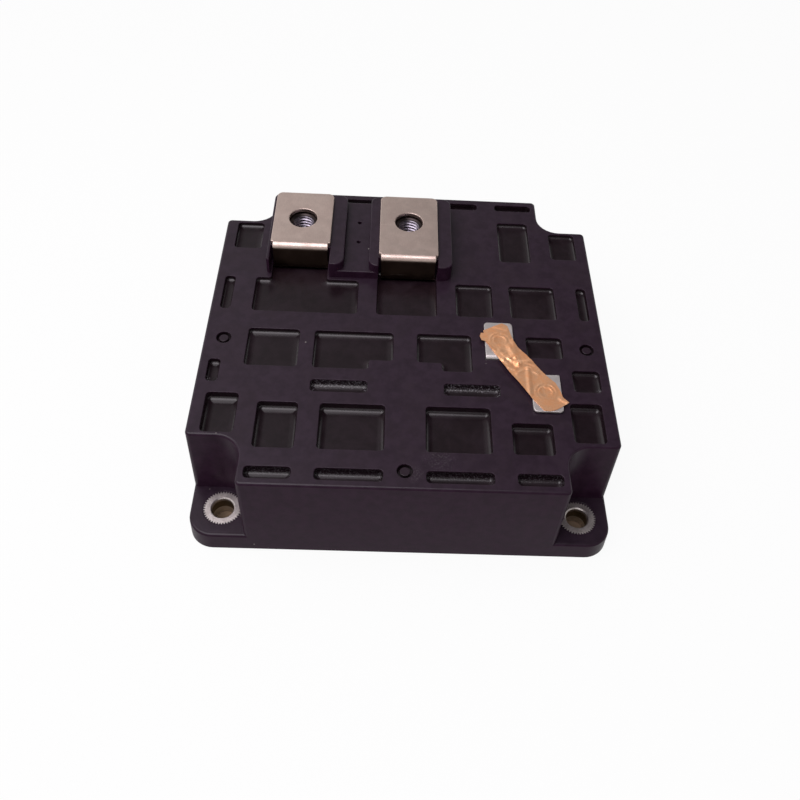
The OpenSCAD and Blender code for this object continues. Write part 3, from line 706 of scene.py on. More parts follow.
# %% Gate and sense
AUX_TOP, THIN = 36.4, 0.8
gate_tail = [((31.05, -14.8, 24), (33.55, -3.4, 24 + THIN)), ((31.05, -4.2, 4.5), (33.55, -3.4, 24 + THIN))]
sense_tail = [((41.95, -21.6, 22), (44.45, -7.9, 22 + THIN)), ((41.95, -8.7, 4.5), (44.45, -7.9, 22 + THIN))]
gate = bent_plate("bent_gate_terminal", control_nickel, 29.8, -14.8, 1, AUX_TOP, THIN, 0.3, 4.6, 1.3, 24,
                  (7.4, 15), 2.25, 0.0, gate_tail)
sense = bent_plate("bent_sense_terminal", control_nickel, 43.2, -20.8, -1, AUX_TOP, THIN, 0.3, 4.6, 1.3, 22,
                   (7.4, 15), 2.25, 0.0, sense_tail)

# %% [markdown]
# ## Captive nuts
# The nuts under the main terminals show through the holes in them. Their threads are real geometry: the
# radius of each point follows its height plus its angle, which makes one continuous helix.

# %% Nuts with threads
nut_zinc = new_material("nut_zinc")
NUT_ACROSS, NUT_LOW, MINOR, MAJOR, PITCH = 13.0, 34.8, 3.4, 3.95, 1.25
MOUTH = MAJOR + 0.25


def threaded_nut(name, x, y):
    shell = Shell()
    outline = lambda inset: contour(hexagon(x, y, NUT_ACROSS), inset, 2)
    outside = [shell.ring(outline(0), NUT_LOW), shell.ring(outline(0), TOWER_TOP)]
    shell.bridge(*outside, flat=True)
    around, levels, sink = 72, 52, 0.7
    rows = [shell.hollow(disc(x, y, MOUTH, around), TOWER_TOP, math.pi / 2)]
    for k in range(1, levels):
        z = TOWER_TOP - (TOWER_TOP - NUT_LOW) * k / levels
        first = len(shell.points)
        for i in range(around):
            angle = 2 * math.pi * i / around
            turn = (z / PITCH - i / around) % 1
            crest = min(1.0, max(0.0, abs(2 * turn - 1) * 1.5 - 0.1))
            depth = TOWER_TOP - z
            ends = min(1.0, depth / sink, (z - NUT_LOW) / sink)
            radius = MINOR + (MAJOR - MINOR) * (1 - crest) * ends
            radius = max(radius, MOUTH - depth * 1.1) if depth < sink else radius
            out = Vector((math.cos(angle), math.sin(angle), 0))
            shell.points.append(Vector((x, y, z)) + radius * out)
            shell.normals.append(-out)
        rows.append(list(range(first, len(shell.points))))
    rows.append(shell.hollow(disc(x, y, MINOR, around), NUT_LOW))
    shell.bridge(*rows, flat=True)
    shell.cap(outside[1], [rows[0]])
    shell.cap(outside[0], [rows[-1]], up=False)
    nut = shell.build("threaded_" + name, nut_zinc)
    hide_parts(name)
    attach(nut, "root")


threaded_nut("collector_nut", COLLECTOR_X, SCREW_Y)
threaded_nut("emitter_nut", EMITTER_X, SCREW_Y)

# %% [markdown]
# ## Node helpers
# Node trees make the bushings and all finishes. Real surfaces are never one flat colour: mould grain, plating
# and handling change them a little from place to place. Image textures could show this, but a pattern
# computed from the object's own coordinates stays sharp at any distance and needs no unwrapping. All
# patterns are measured in millimetres.

# %% Short calls for nodes
def put(tree, kind, feeds=None, **settings):
    """Adds a node. feeds gives a number, a colour or another node's output to its inputs."""
    node = tree.nodes.new(kind if kind.startswith("GeometryNode") else "ShaderNode" + kind)
    for key, value in settings.items():
        setattr(node, key, value)
    for key, value in (feeds or {}).items():
        if isinstance(value, bpy.types.NodeSocket):
            tree.links.new(value, node.inputs[key])
        else:
            node.inputs[key].default_value = value
    return node


def maths(tree, operation, *values, clamp=False):
    return put(tree, "Math", dict(enumerate(values)), operation=operation, use_clamp=clamp).outputs[0]


def product(tree, *values):
    result = values[0]
    for value in values[1:]:
        result = maths(tree, "MULTIPLY", result, value)
    return result


def largest(tree, *values):
    result = values[0]
    for value in values[1:]:
        result = maths(tree, "MAXIMUM", result, value)
    return result


def noise_at(tree, vector, scale, **extra):
    """A noise pattern between 0 and 1."""
    feeds = {"Vector": vector, "Scale": scale, **{key.capitalize(): value for key, value in extra.items()}}
    return put(tree, "TexNoise", feeds).outputs[0]


def blend(tree, factor, a, b):
    """A colour between a and b."""
    node = put(tree, "Mix", {0: factor}, data_type="RGBA")
    for socket, value in ((node.inputs[6], a), (node.inputs[7], b)):
        if isinstance(value, bpy.types.NodeSocket):
            tree.links.new(value, socket)
        else:
            socket.default_value = (*value, 1)
    return node.outputs[2]


def ramp(tree, value, low, high, start=0.0, end=1.0):
    """Turns low..high into start..end with soft ends."""
    node = put(tree, "MapRange", {"Value": value, "From Min": low, "From Max": high, "To Min": start,
                                  "To Max": end})
    node.interpolation_type = "SMOOTHSTEP"
    return node.outputs[0]


def group_tree(name, inputs, outputs, kind="ShaderNodeTree"):
    """An empty group with named sockets. Returns it with its inputs and the sockets of its end node."""
    tree = bpy.data.node_groups.new(name, kind)
    for label, kind, value in inputs:
        socket = tree.interface.new_socket(label, in_out="INPUT", socket_type="NodeSocket" + kind)
        if value is not None:
            socket.default_value = value
    for label, kind in outputs:
        tree.interface.new_socket(label, in_out="OUTPUT", socket_type="NodeSocket" + kind)
    return tree, tree.nodes.new("NodeGroupInput").outputs, tree.nodes.new("NodeGroupOutput").inputs


def use(tree, group, **feeds):
    """Places a group in a material and returns its outputs."""
    node = tree.nodes.new("ShaderNodeGroup")
    node.node_tree = group
    for key, value in feeds.items():
        socket = node.inputs[key]
        if isinstance(value, bpy.types.NodeSocket):
            tree.links.new(value, socket)
        else:
            socket.default_value = (*value, 1) if socket.type == "RGBA" else value
    return node.outputs


def in_millimetres(tree, stretch=(1, 1, 1)):
    """Object coordinates in millimetres. stretch above 1 along an axis packs the pattern closer there."""
    where = tree.nodes.get("where") or put(tree, "TexCoord", name="where")
    scale = [1000 * s for s in stretch]
    return put(tree, "Mapping", {"Vector": where.outputs["Object"], "Scale": scale}).outputs[0]


def finish(material, fixed, color, roughness, height=None, depth=0.02, strength=1.0):
    """Connects the patterns. Values that are the same all over go straight to the shader's own sockets."""
    tree = material.node_tree
    shader = tree.nodes["Principled BSDF"]
    for key, value in fixed.items():
        shader.inputs[key].default_value = value
    tree.links.new(color, shader.inputs["Base Color"])
    tree.links.new(roughness, shader.inputs["Roughness"])
    if height is not None:
        bump = put(tree, "Bump", {"Height": height, "Distance": depth * mm, "Strength": strength})
        tree.links.new(bump.outputs[0], shader.inputs["Normal"])


print("patterns are measured in millimetres")

# %% [markdown]
# ## Knurled bushings
# Four identical turned bushings line the mounting holes, so one Geometry Nodes tree makes them all. A grid is
# rolled into a ring: its columns run round the bushing and its rows run along the outline of the wall, and
# every second column of the outer rows is pulled in to make a tooth.

# %% Bushing tree
LEVELS = 9
CHAMFER, OUTER_EDGE = 0.35 * mm, 0.15 * mm


def bushing_tree():
    numbers = [(name, "Float", None) for name in ("Radius", "Tooth", "Foot", "Top", "Bore")]
    tree, given, result = group_tree(
        "knurled_bushing", [("Geometry", "Geometry", None), ("Teeth", "Int", None), *numbers,
                            ("Centre", "Vector", None), ("Material", "Material", None)],
        [("Geometry", "Geometry")], "GeometryNodeTree")

    def calc(operation, *values):
        return maths(tree, operation, *values)

    def pick(values):
        """One of the values, by the row of the grid."""
        node = put(tree, "GeometryNodeIndexSwitch", data_type="FLOAT")
        while len(node.index_switch_items) < len(values):
            node.index_switch_items.new()
        for i, value in enumerate([row, *values]):
            tree.links.new(value, node.inputs[i])
        return node.outputs[0]

    columns = calc("ADD", calc("MULTIPLY", given["Teeth"], 2), 1)
    grid = put(tree, "GeometryNodeMeshGrid", {"Vertices X": columns, "Vertices Y": LEVELS})
    at = put(tree, "SeparateXYZ", {0: put(tree, "GeometryNodeInputPosition").outputs[0]}).outputs
    around = calc("ADD", at[0], 0.5)
    column = calc("ROUND", calc("MULTIPLY", around, calc("MULTIPLY", given["Teeth"], 2)))
    row = calc("ROUND", calc("MULTIPLY", calc("ADD", at[1], 0.5), LEVELS - 1))
    bore, radius, foot, top = (given[n] for n in ("Bore", "Radius", "Foot", "Top"))
    radii = [bore, bore, calc("ADD", bore, CHAMFER * 0.35), calc("ADD", bore, CHAMFER),
             calc("SUBTRACT", radius, OUTER_EDGE), calc("SUBTRACT", radius, OUTER_EDGE * 0.3), radius,
             radius, bore]
    heights = [foot, calc("SUBTRACT", top, CHAMFER), calc("SUBTRACT", top, CHAMFER * 0.55), top, top,
               calc("SUBTRACT", top, OUTER_EDGE * 0.3), calc("SUBTRACT", top, OUTER_EDGE), foot, foot]
    outer = calc("MULTIPLY", calc("GREATER_THAN", row, 3.5), calc("LESS_THAN", row, 7.5))
    pulled = product(tree, outer, calc("MODULO", column, 2), given["Tooth"])
    distance = calc("SUBTRACT", pick(radii), pulled)
    angle = calc("MULTIPLY", around, -2 * math.pi)
    place = put(tree, "CombineXYZ", {0: calc("MULTIPLY", distance, calc("COSINE", angle)),
                                     1: calc("MULTIPLY", distance, calc("SINE", angle)), 2: pick(heights)})
    shift = put(tree, "VectorMath", {0: place.outputs[0], 1: given["Centre"]})
    move = put(tree, "GeometryNodeSetPosition", {"Geometry": grid.outputs["Mesh"],
                                                 "Position": shift.outputs[0]})
    merge = put(tree, "GeometryNodeMergeByDistance", {"Geometry": move.outputs[0], "Distance": 0.001 * mm})
    solid = put(tree, "GeometryNodeRealizeInstances", {0: merge.outputs[0]})
    paint = put(tree, "GeometryNodeSetMaterial", {"Geometry": solid.outputs[0],
                                                  "Material": given["Material"]})
    tree.links.new(paint.outputs[0], result[0])
    return tree


knurl_tree = bushing_tree()
print("bushing tree has", len(knurl_tree.nodes), "nodes")

# %% Bake four bushings
def bake_tree(name, tree, values):
    """Runs a tree with the given inputs and keeps its result as a plain mesh."""
    holder = bpy.data.objects.new(name + "_tree", bpy.data.meshes.new(name + "_tree"))
    bpy.context.scene.collection.objects.link(holder)
    modifier = holder.modifiers.new("tree", "NODES")
    modifier.node_group = tree
    for item in tree.interface.items_tree:
        if item.in_out == "INPUT" and item.name in values:
            modifier[item.identifier] = values[item.name]
    graph = bpy.context.evaluated_depsgraph_get()
    mesh = bpy.data.meshes.new_from_object(holder.evaluated_get(graph), depsgraph=graph)
    holder.modifiers.remove(modifier)
    bpy.data.objects.remove(holder)
    mesh.name = name
    piece = bpy.data.objects.new(name, mesh)
    bpy.context.scene.collection.objects.link(piece)
    return piece


bushing_nickel = new_material("bushing_nickel")
TEETH, BUSHING_BORE = 42, 3.4
CORNERS = ("front_left", "front_right", "rear_left", "rear_right")
for corner in CORNERS:
    low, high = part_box("bushing_" + corner)
    middle = (low + high) / 2
    piece = bake_tree("knurled_bushing_" + corner, knurl_tree, {
        "Teeth": TEETH, "Radius": BUSHING * mm, "Tooth": TOOTH * mm, "Foot": low.z, "Top": high.z,
        "Bore": BUSHING_BORE * mm, "Centre": (middle.x, middle.y, 0.0), "Material": bushing_nickel})
    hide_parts("bushing_" + corner)
    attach(piece, "root")
    print(piece.name, len(piece.data.polygons), "faces")

# %% [markdown]
# ## Shorting foil
# A strip of adhesive copper foil joins the two control terminals until the module is fitted, and keeps
# static charge off the gate. It is thin sheet metal, so it folds in straight creases with flat facets between
# them. It is also pressed into the two screw holes, and its far side wrinkled along their rims. The outline
# and the creases are places picked by eye and turned into millimetres by a separate script.

# %% Foil
copper_foil = new_material("copper_foil")
SHEET, GLUE, EDGE_STEP, STEP, JITTER = 0.12, 0.04, 0.4, 0.34, 0.08
HOLES = [Vector((30.1, -7.8)), Vector((42.9, -28.4))]
FOIL_EDGE = [
    (24.8, -3.6), (27.9, -1.9), (31, -0.2), (32.8, -1.2), (33.5, -4.2), (34.3, -7.6), (35.6, -10.5),
    (38.2, -13.7), (42.1, -19.7), (43.7, -22), (46.2, -24.7), (47.4, -27.8), (47.9, -30.2), (49.6, -32.4),
    (47.6, -33.7), (45.8, -34.9), (43.6, -35.8), (41.8, -35.6), (40.5, -33.8), (38.1, -30.5), (36.5, -27.5),
    (34.6, -24.4), (32.1, -20.6), (29.9, -16.6), (27.9, -13), (26.2, -9.7), (25.2, -8.2), (24.1, -7.8),
    (23.6, -6.2), (24, -4.7), (25, -4.7)]
CREASES = [
    (32.8, -10.2, 35.1, -17.6, 1.3), (35.1, -17.6, 40.2, -15.7, 1.3), (35.1, -17.6, 30.1, -13.7, 1.0),
    (34.1, -7.6, 35.1, -17.6, 1.0), (38.1, -19.1, 38, -29.7, 1.0), (34.5, -21.4, 38.1, -19.1, 0.8),
    (38.1, -19.1, 41, -21.1, 0.8), (28.8, -13.8, 32.3, -18.1, 0.8), (30.1, -15.8, 34.4, -14.7, 0.8),
    (29.5, -12.1, 32.4, -15.7, 0.8), (36.1, -16.3, 40.4, -17.7, 0.7), (47.1, -30.9, 49.3, -32.3, 1.0),
    (26.2, -10.3, 28.9, -12.7, 0.7), (30.3, -18.2, 34, -19.8, 0.7), (28.5, -1.8, 32.7, -3, 0.7)]
corners = [Vector(place) for place in FOIL_EDGE]
if sum(a.cross(b) for a, b in zip(corners, corners[1:] + corners[:1])) < 0:
    corners.reverse()
outline = []
for a, b in zip(corners, corners[1:] + corners[:1]):
    count = max(2, round((b - a).length / EDGE_STEP))
    outline += [a.lerp(b, k / count) for k in range(count)]
crease_rng = np.random.default_rng(11)


def foil_height(p):
    """Rise of the foil over the plates at a place."""
    rise = 0.1 * (noise.noise(Vector((p.x * 0.16, p.y * 0.16, 4.0))) + 0.5)
    for ax, ay, bx, by, wide in CREASES:
        start, run = Vector((ax, ay)), Vector((bx - ax, by - ay))
        along = min(1.0, max(0.0, (p - start).dot(run) / run.length_squared))
        rise += 0.2 * wide * max(0.0, 1 - (p - start - along * run).length / wide)
    crumpled = max(0.0, 1 - (p - Vector((32, -14.5))).length / 6.5)
    rise += 0.3 * crumpled * abs(noise.noise(Vector((p.x * 0.8, p.y * 0.8, 9.0))))
    for hole in HOLES:
        away = p - hole
        far = 0.5 + 0.5 * max(-0.6, min(1.0, away.y / 1.5))
        wrinkle = noise.noise(Vector((p.x * 1.6, p.y * 1.6, 2.0)))
        for radius, high in ((2.1, 0.16), (3.2, 0.12)):
            rise += high * far * (1 + wrinkle) * max(0.0, 1 - abs(away.length - radius) / 0.45)
        rise -= 0.12 * max(0.0, 1 - away.length / 1.9)
    return max(0.0, rise)


inside = RingTest([outline])
spots = []
for gx in np.arange(22, 51, STEP):
    for gy in np.arange(-37, 1, STEP):
        spot = Vector((gx + crease_rng.uniform(-JITTER, JITTER), gy + crease_rng.uniform(-JITTER, JITTER)))
        near = min((spot - o).length for o in outline)
        if near > 0.25 and inside.holds(spot):
            spots.append(spot)
flat = outline + spots
edges = [(i, (i + 1) % len(outline)) for i in range(len(outline))]
where, _, triangles, origin, _, _ = delaunay_2d_cdt(flat, edges, [], 1, 1e-7)
where = [flat[o[0]] for o in origin]
heights = [AUX_TOP + GLUE + foil_height(p) for p in where]
foil_points = [Vector((p.x, p.y, h + SHEET)) * mm for p, h in zip(where, heights)]
foil_points += [Vector((p.x, p.y, h)) * mm for p, h in zip(where, heights)]
size = len(where)
foil_faces = [tuple(t) for t in triangles] + [tuple(size + k for k in reversed(t)) for t in triangles]
rim_edges = {edge: True for t in triangles for edge in zip(t, list(t[1:]) + [t[0]])}
foil_faces += [(a, size + a, size + b, b) for a, b in rim_edges if (b, a) not in rim_edges]
foil_mesh = bpy.data.meshes.new("creased_foil")
foil_mesh.from_pydata(foil_points, [], foil_faces)
foil_mesh.update()
foil_mesh.materials.append(copper_foil)
foil_mesh.polygons.foreach_set("use_smooth", [True] * len(foil_faces))
foil_mesh.set_sharp_from_angle(angle=math.radians(34))
foil = bpy.data.objects.new("creased_foil", foil_mesh)
bpy.context.scene.collection.objects.link(foil)
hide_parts("shorting_foil")
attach(foil, "root")
print("foil has", len(foil_faces), "faces; it rises", round(max(heights) - AUX_TOP, 2), "mm")

# %% [markdown]
# ## Colours of the resin
# The colours are kept together so that they can be judged side by side. They are linear values.

# %% Resin colours and marked places
RESIN_DARK, RESIN_PALE = (0.0195, 0.0105, 0.0185), (0.027, 0.015, 0.026)
# Pit floors and walls take darker copies of the lid's colour: painted shade.
PIT_SHADE_DARK, PIT_SHADE_PALE = (0.0085, 0.0037, 0.0058), (0.0118, 0.0055, 0.0082)
WALL_SHADE_DARK, WALL_SHADE_PALE = (0.017, 0.006, 0.0145), (0.0245, 0.0098, 0.0212)
RESIN_SMUDGE = (0.03, 0.02, 0.026)
RESIN_RUBBED = (0.09, 0.08, 0.085)
RUB_PLACE, ARC_PLACE = (10.0, -53.4, 35.2), (2.9, -59.2, 35.2)
CHIPS = [(-13.4, 31.5, 38.1), (-31.9, -10.2, 35.2), (-44.6, -65.0, 3.1)]
print("resin is about", RESIN_PALE)

# %% [markdown]
# ## Shared effects
# Four effects return on many surfaces, so each is a node group with its own inputs: a fine grain, marks from
# handling, specks of dust, and the patchy tone of plated or rolled metal.

# %% Fine grain
fine_grain, given, out = group_tree("fine_grain", [("Vector", "Vector", None), ("Size", "Float", 0.3)],
                                    [("Height", "Float"), ("Tone", "Float")])
per_mm = maths(fine_grain, "DIVIDE", 1.0, given["Size"])
small = noise_at(fine_grain, given["Vector"], per_mm, detail=2.0, roughness=0.6)
wider = maths(fine_grain, "DIVIDE", per_mm, 14.0)
wide = noise_at(fine_grain, given["Vector"], wider, detail=3.0, roughness=0.55)
fine_grain.links.new(small, out["Height"])
fine_grain.links.new(ramp(fine_grain, wide, 0.3, 0.7), out["Tone"])
print("fine grain:", len(fine_grain.nodes), "nodes")

# %% Handling marks
handling, given, out = group_tree("handling_marks", [("Vector", "Vector", None), ("Size", "Float", 9.0)],
                                  [("Smudge", "Float"), ("Scratch", "Float")])
per_mm = maths(handling, "DIVIDE", 1.0, given["Size"])
soft = noise_at(handling, given["Vector"], per_mm, detail=4.0, roughness=0.6, distortion=0.8)
handling.links.new(ramp(handling, soft, 0.42, 0.68), out["Smudge"])
lines = []
for angle, stretch in ((0.5, (0.05, 3.0, 1.0)), (-0.9, (0.04, 2.2, 1.0))):
    feeds = {"Vector": given["Vector"], "Rotation": (0, 0, angle), "Scale": stretch}
    turned = put(handling, "Mapping", feeds).outputs[0]
    lines.append(ramp(handling, noise_at(handling, turned, 1.0, detail=1.0), 0.71, 0.76))
patch = ramp(handling, noise_at(handling, given["Vector"], per_mm, detail=1.0), 0.5, 0.6)
handling.links.new(product(handling, largest(handling, *lines), patch), out["Scratch"])
print("handling marks:", len(handling.nodes), "nodes")

# %% Dust specks
dust, given, out = group_tree(
    "dust_specks", [("Vector", "Vector", None), ("Spacing", "Float", 4.0), ("Share", "Float", 0.1),
                    ("Radius", "Float", 0.05)], [("Mask", "Float")])
per_mm = maths(dust, "DIVIDE", 1.0, given["Spacing"])
cells = put(dust, "TexVoronoi", {"Vector": given["Vector"], "Scale": per_mm})
near = maths(dust, "LESS_THAN", cells.outputs["Distance"], given["Radius"])
lot = put(dust, "SeparateColor", {0: cells.outputs["Color"]}).outputs[0]
dust.links.new(maths(dust, "MULTIPLY", near, maths(dust, "LESS_THAN", lot, given["Share"])), out["Mask"])
print("dust specks:", len(dust.nodes), "nodes")

# %% Plated metal
plating, given, out = group_tree(
    "plated_metal", [("Vector", "Vector", None), ("Grain", "Vector", None), ("Patch", "Float", 6.0),
                     ("Bright", "Color", None), ("Dull", "Color", None), ("Smooth", "Float", 0.25),
                     ("Rough", "Float", 0.4)],
    [("Color", "Color"), ("Roughness", "Float"), ("Height", "Float")])
drawn = put(plating, "VectorMath", {0: given["Vector"], 1: given["Grain"]}, operation="MULTIPLY").outputs[0]
grain = noise_at(plating, drawn, 1.0, detail=3.0, roughness=0.65)
per_mm = maths(plating, "DIVIDE", 1.0, given["Patch"])
patches = noise_at(plating, given["Vector"], per_mm, detail=4.0, roughness=0.6)
shares = [maths(plating, "MULTIPLY", patches, 0.65), maths(plating, "MULTIPLY", grain, 0.35)]
tone = ramp(plating, maths(plating, "ADD", *shares), 0.36, 0.64)
mixed = put(plating, "Mix", {0: tone, 6: given["Bright"], 7: given["Dull"]}, data_type="RGBA")
plating.links.new(mixed.outputs[2], out["Color"])
polish = put(plating, "MapRange", {"Value": tone, "To Min": given["Smooth"], "To Max": given["Rough"]})
plating.links.new(polish.outputs[0], out["Roughness"])
plating.links.new(grain, out["Height"])
print("plated metal:", len(plating.nodes), "nodes")

# %% [markdown]
# ## Resin
# The case is a filled black thermoset. Lid, pit floors and walls get three base colours, and the gloss is
# kept low on the walls. A real moulding is one colour all over: the darker floors and walls are painted
# shade, tuned to one view under these lamps, so they need another look under other light. The narrow
# slots get a speckle, as if sparks had eroded the mould there, and its lighter specks on curved faces are
# painted glints. Height over the plate tells lid and floors apart, and ranges of y find the slots.

# %% Resin nodes
tree = resin.node_tree
at = in_millimetres(tree)
xyz = put(tree, "SeparateXYZ", {0: at})
grain = use(tree, fine_grain, Vector=at, Size=0.22)
marks = use(tree, handling, Vector=at, Size=11.0)
specks = use(tree, dust, Vector=at, Spacing=5.0, Share=0.05, Radius=0.035)
on_lid = ramp(tree, xyz.outputs[2], LID - 0.5, LID - 0.05)
below_lid = ramp(tree, xyz.outputs[2], 31.5, 32.0)
aside = [maths(tree, "ABSOLUTE", xyz.outputs[i]) for i in (0, 1)]
WALL_SIDE, NOTCH_SIDE, BAR_Y, BAR_HALF, SLOT_Y = 62.3, 46.8, -27.0, 2.7, -57.0
within = [maths(tree, "LESS_THAN", largest(tree, *aside), WALL_SIDE),
          maths(tree, "LESS_THAN", maths(tree, "MINIMUM", *aside), NOTCH_SIDE)]
in_pit = product(tree, maths(tree, "SUBTRACT", 1.0, on_lid), below_lid, *within)
from_bars = maths(tree, "ABSOLUTE", maths(tree, "SUBTRACT", xyz.outputs[1], BAR_Y))
bars = maths(tree, "LESS_THAN", from_bars, BAR_HALF)
slots = maths(tree, "LESS_THAN", xyz.outputs[1], SLOT_Y)
eroded = product(tree, largest(tree, bars, maths(tree, "MULTIPLY", slots, 0.3)), in_pit)
pale = blend(tree, grain["Tone"], RESIN_DARK, RESIN_PALE)
# Pit floors: a darker copy of the lid's colour, painted shade.
deep = blend(tree, grain["Tone"], PIT_SHADE_DARK, PIT_SHADE_PALE)
upright = put(tree, "SeparateXYZ", {0: tree.nodes["where"].outputs["Normal"]}).outputs[2]
level = ramp(tree, upright, 0.5, 0.95)
# Walls: a darker copy of the lid's colour, painted shade.
walls = blend(tree, grain["Tone"], WALL_SHADE_DARK, WALL_SHADE_PALE)
color = blend(tree, level, walls, pale)
color = blend(tree, in_pit, color, deep)
color = blend(tree, product(tree, marks["Smudge"], level, 0.35), color, RESIN_SMUDGE)


def near(tree, at, centre, radius):
    """1 at a place, 0 at radius from it."""
    away = put(tree, "VectorMath", {0: at, 1: centre}, operation="DISTANCE").outputs["Value"]
    return ramp(tree, away, 0.0, radius, 1.0, 0.0)


rub = noise_at(tree, at, 2.4, detail=4.0, roughness=0.75)
rubbed = largest(tree, near(tree, at, RUB_PLACE, 7.0), near(tree, at, ARC_PLACE, 4.0))
rubbed = product(tree, rubbed, ramp(tree, rub, 0.5, 0.62), on_lid)
color = blend(tree, maths(tree, "MULTIPLY", rubbed, 0.5), color, RESIN_RUBBED)
chips = [near(tree, at, place, 0.5) for place in CHIPS]
chipped = largest(tree, *chips)
# Painted glints: lighter specks on the curved faces of the eroded slots.
painted_glints = product(tree, eroded, ramp(tree, rub, 0.54, 0.6), ramp(tree, upright, 0.9, 0.999, 1.0, 0.0))
color = blend(tree, maths(tree, "MULTIPLY", painted_glints, 0.6), color, (0.3, 0.28, 0.31))
light_spots = largest(tree, maths(tree, "MULTIPLY", specks["Mask"], 0.6), ramp(tree, chipped, 0.3, 0.8))
color = blend(tree, light_spots, color, (0.22, 0.2, 0.19))
rough = ramp(tree, grain["Tone"], 0.0, 1.0, 0.34, 0.4)
rough = maths(tree, "ADD", rough, maths(tree, "MULTIPLY", marks["Smudge"], 0.05))
rough = maths(tree, "ADD", rough, maths(tree, "MULTIPLY", rubbed, 0.15))
gloss = maths(tree, "MULTIPLY", level, ramp(tree, marks["Smudge"], 0.0, 1.0, 0.45, 0.35))
curved = ramp(tree, upright, 0.86, 0.999, 1.0, 0.06)
gloss = maths(tree, "MAXIMUM", gloss, maths(tree, "MULTIPLY", in_pit, curved))
gloss = maths(tree, "SUBTRACT", gloss, maths(tree, "MULTIPLY", rubbed, 0.3), clamp=True)
pitted = noise_at(tree, at, 2.6, detail=3.0, roughness=0.7)
low_grain = maths(tree, "MULTIPLY", grain["Height"], 0.12)
height = maths(tree, "ADD", low_grain, product(tree, pitted, eroded, 3.0))
RESIN_GLOSS = {"Metallic": 0.0, "Specular IOR Level": 0.05, "Coat IOR": 1.5, "Coat Roughness": 0.25}
finish(resin, RESIN_GLOSS, color, rough, height, 0.06)
tree.links.new(gloss, tree.nodes["Principled BSDF"].inputs["Coat Weight"])
print("resin:", len(tree.nodes), "nodes")

# %% [markdown]
# ## Nickel, zinc and copper
# The terminals are copper with satin nickel, which has a fine grain along the strip and dull patches where
# it was touched. The same group, with other colours and grain, gives the turned bushings, the zinc on the
# nuts, the base plate and the bare copper of the circuit. Some surfaces are also painted darker by height:
# the legs of the main terminals, the bores of the bushings and the tops of the nuts. The real metal is
# plated all over, so this is painted shade and painted dark reflection for one view, wrong from other sides.

# %% Metal nodes
def metal(material, bright, dull, smooth, rough, patch=6.0, stretch=(1, 1, 1), marks=0.0, depth=0.004,
          painted_shade=None):
    """Plated metal. Its last argument is painted shade: heights where it is dark and plain, and its colour.
    """
    tree = material.node_tree
    at = in_millimetres(tree)
    plated = use(tree, plating, Vector=at, Grain=stretch, Patch=patch, Bright=bright, Dull=dull,
                 Smooth=smooth, Rough=rough)
    color, roughness = plated["Color"], plated["Roughness"]
    # Painted shade and dark reflection: the colour darkens by height.
    if painted_shade:
        low, high, tint = painted_shade
        rise = put(tree, "SeparateXYZ", {0: at}).outputs[2]
        color = blend(tree, ramp(tree, rise, low, high), tint, color)
    if marks:
        worn = use(tree, handling, Vector=at, Size=patch * 1.3)
        amount = maths(tree, "MULTIPLY", worn["Scratch"], marks)
        color = blend(tree, amount, color, tuple(min(1.0, c * 1.5) for c in bright))
        roughness = maths(tree, "ADD", roughness, maths(tree, "MULTIPLY", worn["Smudge"], 0.08))
    finish(material, {"Metallic": 1.0}, color, roughness, plated["Height"], depth)


# Painted shade by height: the legs, the bottoms of the bores and the tops of the nuts.
metal(terminal_nickel, (0.72, 0.57, 0.51), (0.60, 0.47, 0.42), 0.33, 0.42, 5.0, (4, 0.5, 4), 0.35,
      painted_shade=(40.6, 42.7, (0.1, 0.065, 0.05)))
metal(control_nickel, (0.78, 0.72, 0.71), (0.66, 0.61, 0.60), 0.4, 0.5, 3.0, (4, 0.5, 4), 0.3)
metal(bushing_nickel, (0.74, 0.68, 0.66), (0.5, 0.45, 0.43), 0.32, 0.45, 2.0, (2, 2, 5), 0.3,
      painted_shade=(5.6, 6.9, (0.16, 0.12, 0.075)))
metal(nut_zinc, (0.42, 0.38, 0.45), (0.26, 0.23, 0.28), 0.28, 0.4, 1.6, (3, 3, 6),
      painted_shade=(40.9, 40.1, (0.05, 0.04, 0.04)))
print("four platings")

# %% [markdown]
# ## Foil
# Copper foil is bright where a facet turns to the light and brown where it turns away, so most of its look
# comes from its creases. The nodes add finger-dulled patches, finer wrinkles than the mesh holds, and specks.

# %% Foil nodes
tree = copper_foil.node_tree
at = in_millimetres(tree)
plated = use(tree, plating, Vector=at, Grain=(1.5, 1.5, 1.5), Patch=2.5, Bright=(0.99, 0.55, 0.31),
             Dull=(0.94, 0.44, 0.21), Smooth=0.34, Rough=0.46)
dusty = use(tree, dust, Vector=at, Spacing=1.6, Share=0.12, Radius=0.06)
color = blend(tree, maths(tree, "MULTIPLY", dusty["Mask"], 0.7), plated["Color"], (0.95, 0.75, 0.6))
wrinkle = noise_at(tree, at, 1.3, detail=2.0, distortion=1.5)
height = maths(tree, "ADD", maths(tree, "MULTIPLY", wrinkle, 0.5), plated["Height"])
finish(copper_foil, {"Metallic": 0.75}, color, plated["Roughness"], height, 0.03)
print("foil:", len(tree.nodes), "nodes")

# %% [markdown]
# ## Plate and hidden circuit
# The pieces inside the closed case keep their CAD shapes, and so does the base plate. They still get real
# finishes, because the model can be turned over and opened. Each slot gets one material, which replaces the
# plain one on every CAD piece of that slot.

# %% Finishes for CAD pieces
def dress(material, pieces):
    """Puts a material in the place of the plain one on these CAD pieces."""
    for name in pieces:
        for slot in bpy.data.objects[name].material_slots:
            slot.material = material
    return material


def per_tile(*parts):
    return [f"{part}_{corner}" for part in parts for corner in CORNERS]


